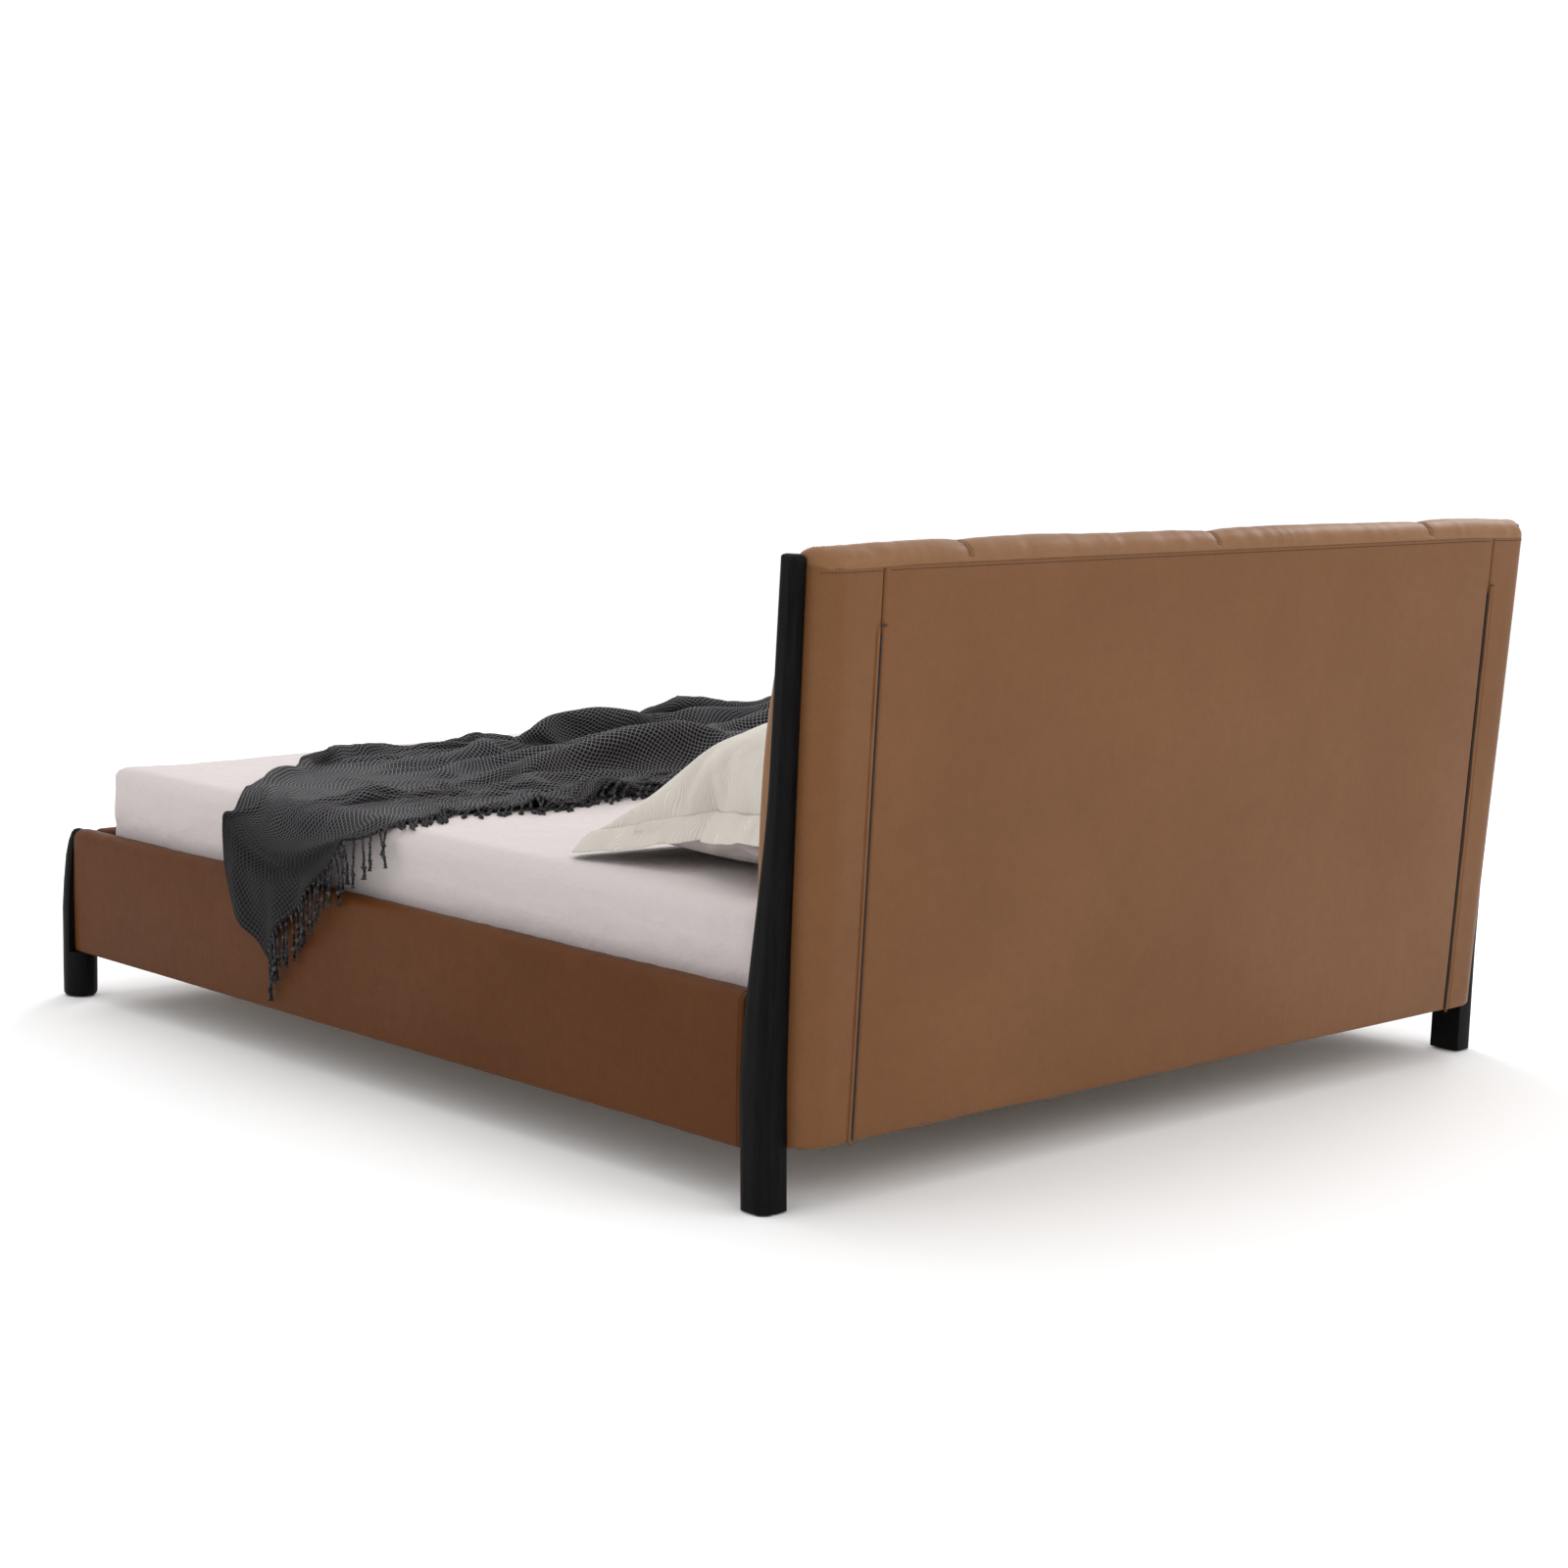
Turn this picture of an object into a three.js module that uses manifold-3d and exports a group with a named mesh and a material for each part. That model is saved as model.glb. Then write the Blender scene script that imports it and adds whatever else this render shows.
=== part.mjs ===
import * as THREE from "three";
import { mergeVertices } from "three/addons/utils/BufferGeometryUtils.js";
import Module from "manifold-3d";

// Upholstered bed with a swept, reclined headboard between two dark wooden posts.
// Millimetres. +X is the right side seen from the foot, +Y runs from foot to head, +Z is up.
// While it is built, y = 0 is the back of the rear posts at the floor; the bed is then centred
// on the origin, which is the middle of the floor under it.

// ---------------------------------------------------------------- driving dimensions
const fitGap = 0.3; // between pieces that touch

const mattressWidth = 1800;
const mattressLength = 2000;
const mattressThickness = 200;
const mattressCornerRadius = 36;
const mattressSideRoom = 8; // from mattress to each side rail
const mattressEndRoom = 5; // from mattress to headboard and to foot rail
const sheetThickness = 2.4;

const floorClearance = 97; // under the rails
const headClearance = 108; // under the headboard
const railHeight = 256;
const railThickness = 48;
const railCoreThickness = 25;
const railCoreMargin = 12; // upholstery above and below the core
const railRoundTop = 18;
const railRoundBottom = 6;

const postHeight = 1058;
const postInset = 9; // post's flat face set out from the rail's inner face
const postWidthFoot = 54;
const postWidthTop = 29;
const postDepthFoot = 66;
const postDepthTop = 36;
const postRound = 22;
const postRoundShare = 0.42; // most that its edges are rounded, as a share of the section
const postBendStart = 200; // height where the post starts to taper and lean back
const postTaperRun = 520; // height over which it does most of its tapering
const postTaperShare = 0.72; // share of the taper done by then
const postTopRound = 5;
const postLean = 48; // how far its back has moved back at the top
const postLeanCurve = 1.2;
const postSplay = 30; // how far its inner face has moved out at the top
const glideThickness = 2.5;
const glideRadius = 20;

const footPostRadius = 35;
const footPostShaft = [[0.89, 0], [0.99, 10], [1, 50], [1, 187]]; // share of its radius, height
const footPostDome = [[0.91, 111], [0.77, 55], [0.6, 25], [0.43, 8], [0.2, 0]]; // and below its top
const footPostSetOut = 28; // its centre, out from the side rail's inner face
const footPostStandOut = 12; // its centre, beyond the foot rail's outer face

const headFrontReach = 80; // headboard's front ahead of the posts' back, at the mattress
const headRollStart = 450; // height where the front starts to roll back
const headRoll = 92; // how far the front has rolled back at the seam
const headRollCurve = 2.3;
const headBackFoot = 38; // headboard's back behind the posts' back, at its lower edge
const headBackSlope = 0.058;
const seamHeight = 1040; // fold between the crown and the back panel
const crownRise = 31; // crown above that fold
const crownTopShare = 0.58; // where it is highest, from its front to its back
const crownFrontDrop = 6; // its curve starts this far below the fold at the front
const headSideGap = 1; // headboard to each post
const slitOffset = 104; // from the headboard's side in to the slit, at its lower edge
const slitWidth = 5;
const slitTop = 942;
const slitSplay = 0.3; // share of the side's splay that the slits follow
const zipThickness = 8;
const zipSunk = 3;
const zipFootGap = 2;
const backPadThickness = 15;
const headFrameDepth = 40;
const headFrameBoard = 80;
const headFrameInset = 50; // frame's side in from the headboard's side
const headFrameTop = 960;
const headPanelThickness = 6;
const sidePadLip = 2; // side pad's edge behind the post's back
const sidePadFall = 10; // least that its edge is ahead of the back
const shoulderRadius = 46; // the back rounds forward over this width to meet the post
const shoulderStep = 4; // fall of the back before it starts to round
const shoulderShares = [0, 0.09, 0.26, 0.52, 1]; // where its curve has an edge

const ledgerWidth = 30;
const ledgerHeight = 40;
const slatCount = 13;
const slatHeight = 183; // their tops above the rails' lower edge
const slatWidth = 60;
const slatThickness = 12;
const slatEndRoom = 3;
const slatFirstOffset = 70;
const beamWidth = 40;
const beamHeight = 60;
const hangerThickness = 3;
const hangerLength = 40;
const hangerDrop = 5; // its arms stop below the beam's top
const legSize = 45;
const legCount = 2;
const legBoreRadius = 5.5;
const legBoreDepth = 36;
const levellerRadius = 22;
const levellerThickness = 6;
const levellerEdge = 1;
const levellerStemRadius = 5;
const levellerStemLength = 34;
const levellerRetract = 9; // room for the levelling foot to be screwed in
const hookPlateThickness = 3;
const hookPlateWidth = 30;
const hookPlateHeight = 190;
const hookPlateEdge = 2; // its edge in from the post's inner face
const cornerBlockLeg = 60;
const cornerBlockHeight = 110;

const mattressLowEdge = [[0, 10], [12, 0]]; // height above its base, set in
const mattressTopEdge = [[26, 0], [12, 6], [3, 16], [0, 30]]; // depth below its top, set in
const sheetHemHeight = 4; // sheet's lower edge above the mattress base

const pillowLength = 700;
const pillowWidth = 430;
const pillowThickness = 110;
const shamLength = 800;
const shamWidth = 590;
const shamThickness = 200;
const pillowShrink = 0.42; // how much smaller a pillow's flat faces are
const pillowCurve = 2.4;
const pillowSquareness = 4;
const shamTilt = 15; // degrees
const pillowSideSetIn = 90; // pillow's outer end in from the mattress side
const pillowHeadRoom = 22; // pillow to headboard
const shamHeadRoom = 26; // upper pillow to headboard
const shamLift = 40; // its front edge's middle above the mattress

const throwThickness = 9;
const throwPile = 60; // height of its gathered folds on the mattress
const throwRest = 2; // held off what it lies on
const throwDrop = 372; // from the mattress top down to the hanging corner
const throwHeadEdge = 1030; // from the headboard to its near edge
const throwDepth = 800; // along the bed
const throwHangWidth = 460;
const throwHangSetIn = 8; // hanging part in from the edge nearest the headboard
const throwTipShare = 0.38; // where its lowest corner is, from the foot side
const throwTipWidth = 24;
const throwHeadShoulder = 20; // falls straight this far below the rail before slanting
const throwFootShoulder = 60;
const throwFarSetIn = 60;

// ---------------------------------------------------------------- places worked out from them
const railInnerX = mattressWidth / 2 + mattressSideRoom;
const railOuterX = railInnerX + railThickness;
const railBottomZ = floorClearance;
const railTopZ = floorClearance + railHeight;
const postInnerX = railInnerX + postInset;
const headHalfWidth = postInnerX - headSideGap;
const headFrontY = -headFrontReach;
const mattressHeadY = headFrontY - mattressEndRoom;
const mattressFootY = mattressHeadY - mattressLength;
const footRailInnerY = mattressFootY - mattressEndRoom;
const footRailOuterY = footRailInnerY - railThickness;
const railHeadY = -postDepthFoot - hookPlateThickness - 2 * fitGap;
const slatTopZ = floorClearance + slatHeight;
const slatBottomZ = slatTopZ - slatThickness;
const mattressBottomZ = slatTopZ + fitGap;
const mattressTopZ = mattressBottomZ + mattressThickness;
const sheetTopZ = mattressTopZ + fitGap + sheetThickness;
const sides = [["left", -1], ["right", 1]];
const turnedSides = 24;

// ---------------------------------------------------------------- materials
function material(colour, roughness, metalness = 0) {
  return new THREE.MeshStandardMaterial({ color: colour, roughness, metalness });
}
const ebonyWood = material(0x1b1a1a, 0.38);
const backLeather = material(0x80593f, 0.5);
const crownLeather = material(0x8a6245, 0.48);
const railLeather = material(0x6b4630, 0.5);
const pineWood = material(0xb99468, 0.7);
const beechWood = material(0xcaa678, 0.6);
const plywood = material(0xb68d5e, 0.75);
const blackSteel = material(0x202122, 0.45, 0.8);
const zinc = material(0xa9adb0, 0.35, 1);
const nylon = material(0x161616, 0.6);
const zipTape = material(0x14110f, 0.7);
const foamCover = material(0xe6e2dc, 0.9);
const whiteCotton = material(0xe8e5e6, 0.85);
const creamCotton = material(0xe0dbd0, 0.85);
const greyWool = material(0x4f5154, 0.95);

// ---------------------------------------------------------------- geometry helpers
const wasm = await Module();
wasm.setup();

function toSolid(geometry) {
  const bare = geometry.clone();
  bare.deleteAttribute("normal");
  bare.deleteAttribute("uv");
  const merged = mergeVertices(bare, 1e-3);
  const vertProperties = new Float32Array(merged.attributes.position.array);
  const triVerts = new Uint32Array(merged.index.array);
  return new wasm.Manifold(new wasm.Mesh({ numProp: 3, vertProperties, triVerts }));
}

function toGeometry(solid) {
  const mesh = solid.getMesh();
  const geometry = new THREE.BufferGeometry();
  geometry.setAttribute("position", new THREE.BufferAttribute(mesh.vertProperties, 3));
  geometry.setIndex(new THREE.BufferAttribute(mesh.triVerts, 1));
  geometry.computeVertexNormals();
  return geometry;
}

// A box between two corners.
function box(low, high) {
  const size = high.map((value, i) => value - low[i]);
  const geometry = new THREE.BoxGeometry(...size);
  return geometry.translate(...low.map((value, i) => value + size[i] / 2));
}

// A closed solid through rings of points; every ring has the same number of points.
function loft(rings) {
  const count = rings[0].length;
  const positions = rings.flat().flatMap((p) => [p.x, p.y, p.z]);
  const index = [];
  for (let r = 0; r < rings.length - 1; r++) {
    for (let i = 0; i < count; i++) {
      const a = r * count + i;
      const b = r * count + ((i + 1) % count);
      index.push(a, b, a + count, b, b + count, a + count);
    }
  }
  capTriangles(rings[0]).forEach(([a, b, c]) => index.push(a, c, b));
  const last = (rings.length - 1) * count;
  capTriangles(rings[rings.length - 1]).forEach((corners) => {
    index.push(...corners.map((corner) => last + corner));
  });
  const geometry = new THREE.BufferGeometry();
  geometry.setAttribute("position", new THREE.Float32BufferAttribute(positions, 3));
  geometry.setIndex(index);
  if (signedVolume(geometry) < 0) {
    for (let i = 0; i < index.length; i += 3) {
      [index[i], index[i + 1]] = [index[i + 1], index[i]];
    }
    geometry.setIndex(index);
  }
  geometry.computeVertexNormals();
  return geometry;
}

// Triangles across a flat ring, wound with it.
function capTriangles(ring) {
  const normal = new THREE.Vector3();
  ring.forEach((p, i) => {
    normal.add(new THREE.Vector3().crossVectors(p, ring[(i + 1) % ring.length]));
  });
  const spin = new THREE.Quaternion().setFromUnitVectors(normal.normalize(), new THREE.Vector3(0, 0, 1));
  const flat = ring.map((p) => {
    const q = p.clone().applyQuaternion(spin);
    return new THREE.Vector2(q.x, q.y);
  });
  return THREE.ShapeUtils.triangulateShape(flat, []);
}

function signedVolume(geometry) {
  const p = geometry.attributes.position;
  const index = geometry.index;
  const [a, b, c] = [new THREE.Vector3(), new THREE.Vector3(), new THREE.Vector3()];
  let sum = 0;
  for (let i = 0; i < index.count; i += 3) {
    a.fromBufferAttribute(p, index.getX(i));
    b.fromBufferAttribute(p, index.getX(i + 1));
    c.fromBufferAttribute(p, index.getX(i + 2));
    sum += a.dot(b.cross(c));
  }
  return sum;
}

// The same point list for the left side as for the right: x changes sign.
function mirrored(rings, side) {
  return rings.map((ring) => ring.map((p) => new THREE.Vector3(p.x * side, p.y, p.z)));
}

function steps(from, to, count) {
  return Array.from({ length: count + 1 }, (_, i) => from + ((to - from) * i) / count);
}

// Quarter round from one point to another about a corner, as a list of [a, b] pairs.
function quarter(from, corner, to, count) {
  return steps(0, 1, count).map((t) => {
    const angle = (t * Math.PI) / 2;
    const keep = 1 - Math.sin(angle);
    const gain = 1 - Math.cos(angle);
    return [0, 1].map((k) => corner[k] + (from[k] - corner[k]) * keep + (to[k] - corner[k]) * gain);
  });
}

const bed = new THREE.Group();

function add(name, geometry, look, parent = bed) {
  const mesh = new THREE.Mesh(geometry, look);
  mesh.name = name;
  parent.add(mesh);
  return mesh;
}

// ---------------------------------------------------------------- curves shared by posts and headboard
function bendAt(z) {
  return Math.max(0, z - postBendStart) / (postHeight - postBendStart);
}

function leanAt(z) {
  return postLean * bendAt(z) ** postLeanCurve;
}

function splayAt(z) {
  return (postSplay * z) / postHeight;
}

function headFrontAt(z) {
  const rise = Math.max(0, z - headRollStart) / (seamHeight - headRollStart);
  return headFrontY + headRoll * rise ** headRollCurve;
}

function headBackAt(z) {
  return headBackFoot + headBackSlope * (z - headClearance);
}

function headHalfWidthAt(z) {
  return headHalfWidth + splayAt(z);
}

// ---------------------------------------------------------------- rear posts
// Rounded section, flat towards the headboard; straight to the mattress, then tapering and swept.
function rearPostRings() {
  const shoulder = postHeight - postTopRound;
  const heights = [glideThickness + fitGap, ...steps(postBendStart, shoulder, 10).slice(0, -1)];
  const levels = [
    ...heights.map((z) => [0, z]),
    ...quarter([0, shoulder], [0, postHeight], [postTopRound, postHeight], 3),
  ];
  return levels.map(([setIn, z]) => {
    const taper = THREE.MathUtils.smoothstep(z, postBendStart, postBendStart + postTaperRun);
    const blend = postTaperShare * taper + (1 - postTaperShare) * bendAt(z);
    const width = THREE.MathUtils.lerp(postWidthFoot, postWidthTop, blend) - setIn;
    const depth = THREE.MathUtils.lerp(postDepthFoot, postDepthTop, blend) - 2 * setIn;
    const round = Math.min(postRound, postRoundShare * Math.min(width, depth));
    const x = postInnerX + splayAt(z) + setIn / 2;
    const back = leanAt(z) - setIn;
    const outline = [
      [0, 0],
      ...quarter([width - round, 0], [width, 0], [width, -round], 5),
      ...quarter([width, round - depth], [width, -depth], [width - round, -depth], 5),
      [0, -depth],
    ];
    return outline.map(([a, b]) => new THREE.Vector3(x + a, back + b, z));
  });
}

function addGlide(name, x, y) {
  const glide = new THREE.CylinderGeometry(glideRadius, glideRadius, glideThickness, turnedSides);
  glide.rotateX(Math.PI / 2);
  add(name, glide.translate(x, y, glideThickness / 2), nylon);
}

for (const [name, side] of sides) {
  add(`rear_post_${name}`, loft(mirrored(rearPostRings(), side)), ebonyWood);
  addGlide(`glide_rear_${name}`, side * (postInnerX + postWidthFoot / 2), -postDepthFoot / 2);
}

// ---------------------------------------------------------------- foot posts
// Turned post with a domed top, cut flat where it stands against the foot end of the rails.
const footPostX = railInnerX + footPostSetOut;
const footPostY = footRailOuterY - footPostStandOut;

function footPostGeometry() {
  const foot = glideThickness + fitGap;
  const profile = [
    [0, foot],
    ...footPostShaft.map(([share, height]) => [share * footPostRadius, foot + height]),
    ...footPostDome.map(([share, depth]) => [share * footPostRadius, railTopZ - depth]),
    [0, railTopZ],
  ];
  const outline = profile.map(([r, z]) => new THREE.Vector2(r, z));
  const turned = new THREE.LatheGeometry(outline, turnedSides);
  turned.rotateX(Math.PI / 2);
  const reach = 2 * footPostRadius;
  const low = [-reach, footPostStandOut - fitGap, railBottomZ - fitGap];
  const cut = box(low, [reach, reach, railTopZ + reach]);
  return toGeometry(toSolid(turned).subtract(toSolid(cut)));
}

for (const [name, side] of sides) {
  add(`foot_post_${name}`, footPostGeometry().translate(side * footPostX, footPostY, 0), ebonyWood);
  addGlide(`glide_foot_${name}`, side * footPostX, footPostY);
}

// ---------------------------------------------------------------- headboard
const frameTopZ = headFrameTop;
const frameBottomZ = headClearance + backPadThickness;

function frameBackAt(z) {
  return headBackAt(z) - backPadThickness - fitGap;
}

function frameFrontAt(z) {
  return frameBackAt(z) - headFrameDepth;
}

function panelFrontAt(z) {
  return frameFrontAt(z) - fitGap - headPanelThickness;
}

// A board that leans with the headboard's back, between two widths and two heights.
function leaningBoard(x0, x1, z0, z1, frontAt, backAt) {
  const rings = [z0, z1].map((z) => [
    new THREE.Vector3(x0, frontAt(z), z),
    new THREE.Vector3(x1, frontAt(z), z),
    new THREE.Vector3(x1, backAt(z), z),
    new THREE.Vector3(x0, backAt(z), z),
  ]);
  return loft(rings);
}

const frameHalf = headHalfWidth - headFrameInset;
const stileInner = frameHalf - headFrameBoard;
add("headboard_frame_top_rail", leaningBoard(-frameHalf, frameHalf, frameTopZ - headFrameBoard, frameTopZ,
  frameFrontAt, frameBackAt), pineWood);
add("headboard_frame_bottom_rail", leaningBoard(-frameHalf, frameHalf, frameBottomZ,
  frameBottomZ + headFrameBoard, frameFrontAt, frameBackAt), pineWood);
for (const [name, side] of sides) {
  const edges = [side * stileInner, side * frameHalf].sort((a, b) => a - b);
  add(`headboard_frame_stile_${name}`, leaningBoard(...edges, frameBottomZ + headFrameBoard + fitGap,
    frameTopZ - headFrameBoard - fitGap, frameFrontAt, frameBackAt), pineWood);
}
add("headboard_panel", leaningBoard(-frameHalf, frameHalf, frameBottomZ, frameTopZ, panelFrontAt,
  (z) => frameFrontAt(z) - fitGap), plywood);

// Front pad: the front face, rolled back at the top, and the crown over to the seam. Behind it
// is room for the frame, the panel and the pads at the back.
function headOutline() {
  const crownFrontZ = seamHeight - crownFrontDrop;
  const front = [headClearance, ...steps(headRollStart, crownFrontZ, 9)];
  const crownFront = headFrontAt(crownFrontZ);
  const crownBack = headBackAt(seamHeight);
  const crownTopY = crownFront + crownTopShare * (crownBack - crownFront);
  const crownTopZ = seamHeight + crownRise;
  return [
    ...front.map((z) => [headFrontAt(z), z]),
    ...quarter([crownFront, crownFrontZ], [crownFront, crownTopZ], [crownTopY, crownTopZ], 5).slice(1),
    ...quarter([crownTopY, crownTopZ], [crownBack, crownTopZ], [crownBack, seamHeight], 5).slice(1),
    [headBackAt(headClearance), headClearance],
  ];
}

// How far the headboard's back comes forward, at a distance from its side.
function shoulderPull(distance, z) {
  const share = Math.min(1, distance / shoulderRadius);
  const depth = headBackAt(z) - shoulderStep - sideEdgeAt(z);
  return depth * (1 - Math.sqrt(1 - (1 - share) ** 2)) + (share < 1 ? shoulderStep : 0);
}

// Where the pads' back meets the post.
function sideEdgeAt(z) {
  return Math.min(headBackAt(z) - sidePadFall, leanAt(z) + sidePadLip);
}

function frontPadRings() {
  const outline = headOutline();
  const crownFront = headFrontAt(seamHeight - crownFrontDrop);
  const depth = headBackAt(seamHeight) - crownFront;
  const distances = shoulderShares.map((share) => share * shoulderRadius);
  const stations = [...distances.map((d) => [-1, d]), ...distances.reverse().map((d) => [1, d])];
  return stations.map(([side, distance]) => outline.map(([y, z]) => {
    const share = z < seamHeight ? 0 : Math.max(0, (y - crownFront) / depth);
    const back = y - share * shoulderPull(distance, seamHeight);
    return new THREE.Vector3(side * (headHalfWidthAt(z) - distance), back, z);
  }));
}

function frontPadGeometry() {
  const beyond = 2 * headHalfWidth;
  const farBack = () => postHeight;
  const frameTop = frameTopZ + fitGap;
  const besideFrame = (z) => frameFrontAt(z) - fitGap;
  const rooms = [
    leaningBoard(-beyond, beyond, 0, frameTop, (z) => panelFrontAt(z) - fitGap, farBack),
    leaningBoard(-frameHalf, frameHalf, frameTop - fitGap, seamHeight, frameBackAt, farBack),
    leaningBoard(frameHalf, beyond, frameTop - fitGap, seamHeight, besideFrame, farBack),
    leaningBoard(-beyond, -frameHalf, frameTop - fitGap, seamHeight, besideFrame, farBack),
  ];
  // a notch on each side for the end of the side rail
  for (const side of [-1, 1]) {
    const xs = [side * (railInnerX - fitGap), side * beyond].sort((a, b) => a - b);
    rooms.push(box([xs[0], -beyond, 0], [xs[1], -postDepthFoot, railTopZ + fitGap]));
  }
  const whole = toSolid(loft(frontPadRings()));
  return toGeometry(rooms.reduce((pad, room) => pad.subtract(toSolid(room)), whole));
}

add("headboard_front_pad", frontPadGeometry(), crownLeather);

const padTopZ = seamHeight - fitGap;
const slitX = headHalfWidth - slitOffset;
const padHeights = [headClearance, postBendStart, ...steps(postBendStart, padTopZ, 5).slice(1)];

// Back pad: the flat panel between the two slits.
function backPadRings() {
  const x = slitX - slitWidth / 2;
  return padHeights.map((z) => {
    const back = headBackAt(z);
    const edge = x + splayAt(z) * slitSplay;
    return [
      new THREE.Vector3(-edge, back - backPadThickness, z),
      new THREE.Vector3(edge, back - backPadThickness, z),
      new THREE.Vector3(edge, back, z),
      new THREE.Vector3(-edge, back, z),
    ];
  });
}

add("headboard_back_pad", loft(backPadRings()), backLeather);

// Side pad: from the slit it rounds forward to the post, past the frame's side.
function sidePadRings() {
  return padHeights.map((z) => {
    const back = headBackAt(z);
    const inner = slitX + slitWidth / 2 + splayAt(z) * slitSplay;
    const outer = headHalfWidthAt(z);
    const front = frameFrontAt(z);
    const start = [outer - shoulderRadius, back - shoulderStep];
    const curve = quarter(start, [outer, back - shoulderStep], [outer, sideEdgeAt(z)], 5);
    const behindFrame = frameBackAt(z) + fitGap;
    return [
      [inner, back],
      ...curve,
      [outer, front],
      [frameHalf + fitGap, front],
      [frameHalf + fitGap, behindFrame],
      [inner, behindFrame],
    ].map(([x, y]) => new THREE.Vector3(x, y, z));
  });
}

for (const [name, side] of sides) {
  add(`headboard_side_pad_${name}`, loft(mirrored(sidePadRings(), side)), backLeather);
}

// Slit fastener: a dark strip sunk between the back pad and the side pad.
function slitRings() {
  return [headClearance + zipFootGap, postBendStart, slitTop].map((z) => {
    const middle = slitX + splayAt(z) * slitSplay;
    const half = slitWidth / 2 - fitGap;
    const back = headBackAt(z) - zipSunk;
    return [
      new THREE.Vector3(middle - half, back - zipThickness, z),
      new THREE.Vector3(middle + half, back - zipThickness, z),
      new THREE.Vector3(middle + half, back, z),
      new THREE.Vector3(middle - half, back, z),
    ];
  });
}

for (const [name, side] of sides) {
  add(`headboard_zip_${name}`, loft(mirrored(slitRings(), side)), zipTape);
}

// ---------------------------------------------------------------- rails
const coreBottomZ = railBottomZ + railCoreMargin;
const coreTopZ = railTopZ - railCoreMargin;
const coreStart = (railThickness - railCoreThickness) / 2;

// Section of a rail cover: u runs from the inner face to the outer face, v is height.
function railCoverShape() {
  const shape = new THREE.Shape();
  const t = railThickness;
  const lowRound = railBottomZ + railRoundBottom;
  const highRound = railTopZ - railRoundTop;
  const outline = [
    ...quarter([0, lowRound], [0, railBottomZ], [railRoundBottom, railBottomZ], 3),
    ...quarter([t - railRoundBottom, railBottomZ], [t, railBottomZ], [t, lowRound], 3),
    ...quarter([t, highRound], [t, railTopZ], [t - railRoundTop, railTopZ], 5),
    ...quarter([railRoundTop, railTopZ], [0, railTopZ], [0, highRound], 5),
  ];
  shape.setFromPoints(outline.map(([u, v]) => new THREE.Vector2(u, v)));
  const low = coreBottomZ - fitGap;
  const high = coreTopZ + fitGap;
  const left = coreStart - fitGap;
  const right = coreStart + railCoreThickness + fitGap;
  const hole = [[left, low], [left, high], [right, high], [right, low]];
  shape.holes.push(new THREE.Path(hole.map(([u, v]) => new THREE.Vector2(u, v))));
  return shape;
}

// Extrudes the cover along a rail: the section's u goes to x, v to z, the length to -y.
function railCover(length) {
  const geometry = new THREE.ExtrudeGeometry(railCoverShape(), { depth: length, bevelEnabled: false });
  return geometry.rotateX(Math.PI / 2);
}

const sideRailLength = railHeadY - footRailOuterY;
for (const [name, side] of sides) {
  const cover = railCover(sideRailLength);
  if (side < 0) {
    cover.rotateZ(Math.PI);
    cover.translate(-railInnerX, footRailOuterY, 0);
  } else {
    cover.translate(railInnerX, railHeadY, 0);
  }
  add(`side_rail_cover_${name}`, cover, railLeather);
  const xs = [side * (railInnerX + coreStart), side * (railInnerX + coreStart + railCoreThickness)];
  xs.sort((a, b) => a - b);
  const core = box([xs[0], footRailOuterY, coreBottomZ], [xs[1], railHeadY, coreTopZ]);
  add(`side_rail_core_${name}`, core, plywood);
}

const footRailHalf = railInnerX - fitGap;
const footCover = railCover(2 * footRailHalf).rotateZ(-Math.PI / 2);
add("foot_rail_cover", footCover.translate(footRailHalf, footRailInnerY, 0), railLeather);
add("foot_rail_core", box([-footRailHalf, footRailOuterY + coreStart, coreBottomZ],
  [footRailHalf, footRailOuterY + coreStart + railCoreThickness, coreTopZ]), plywood);

// ---------------------------------------------------------------- slat base
const ledgerTopZ = slatBottomZ - fitGap;
const ledgerBottomZ = ledgerTopZ - ledgerHeight;
const ledgerHeadY = headFrontY - mattressEndRoom;
const ledgerFootY = footRailInnerY + fitGap;
for (const [name, side] of sides) {
  const xs = [side * (railInnerX - fitGap), side * (railInnerX - fitGap - ledgerWidth)];
  xs.sort((a, b) => a - b);
  const ledger = box([xs[0], ledgerFootY, ledgerBottomZ], [xs[1], ledgerHeadY, ledgerTopZ]);
  add(`slat_ledger_${name}`, ledger, pineWood);
}

const slatHalf = railInnerX - slatEndRoom;
const slatPitch = (ledgerHeadY - ledgerFootY - 2 * slatFirstOffset) / (slatCount - 1);
for (let i = 0; i < slatCount; i++) {
  const y = ledgerFootY + slatFirstOffset + i * slatPitch;
  const low = [-slatHalf, y - slatWidth / 2, slatBottomZ];
  const high = [slatHalf, y + slatWidth / 2, slatTopZ];
  add(`slat_${String(i + 1).padStart(2, "0")}`, box(low, high), beechWood);
}

const beamTopZ = slatBottomZ - fitGap;
const beamBottomZ = beamTopZ - beamHeight;
const beamFootY = footRailInnerY + 2 * fitGap;
const beamHeadY = headFrontY - 2 * fitGap;
add("centre_beam", box([-beamWidth / 2, beamFootY, beamBottomZ],
  [beamWidth / 2, beamHeadY, beamTopZ]), pineWood);

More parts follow.
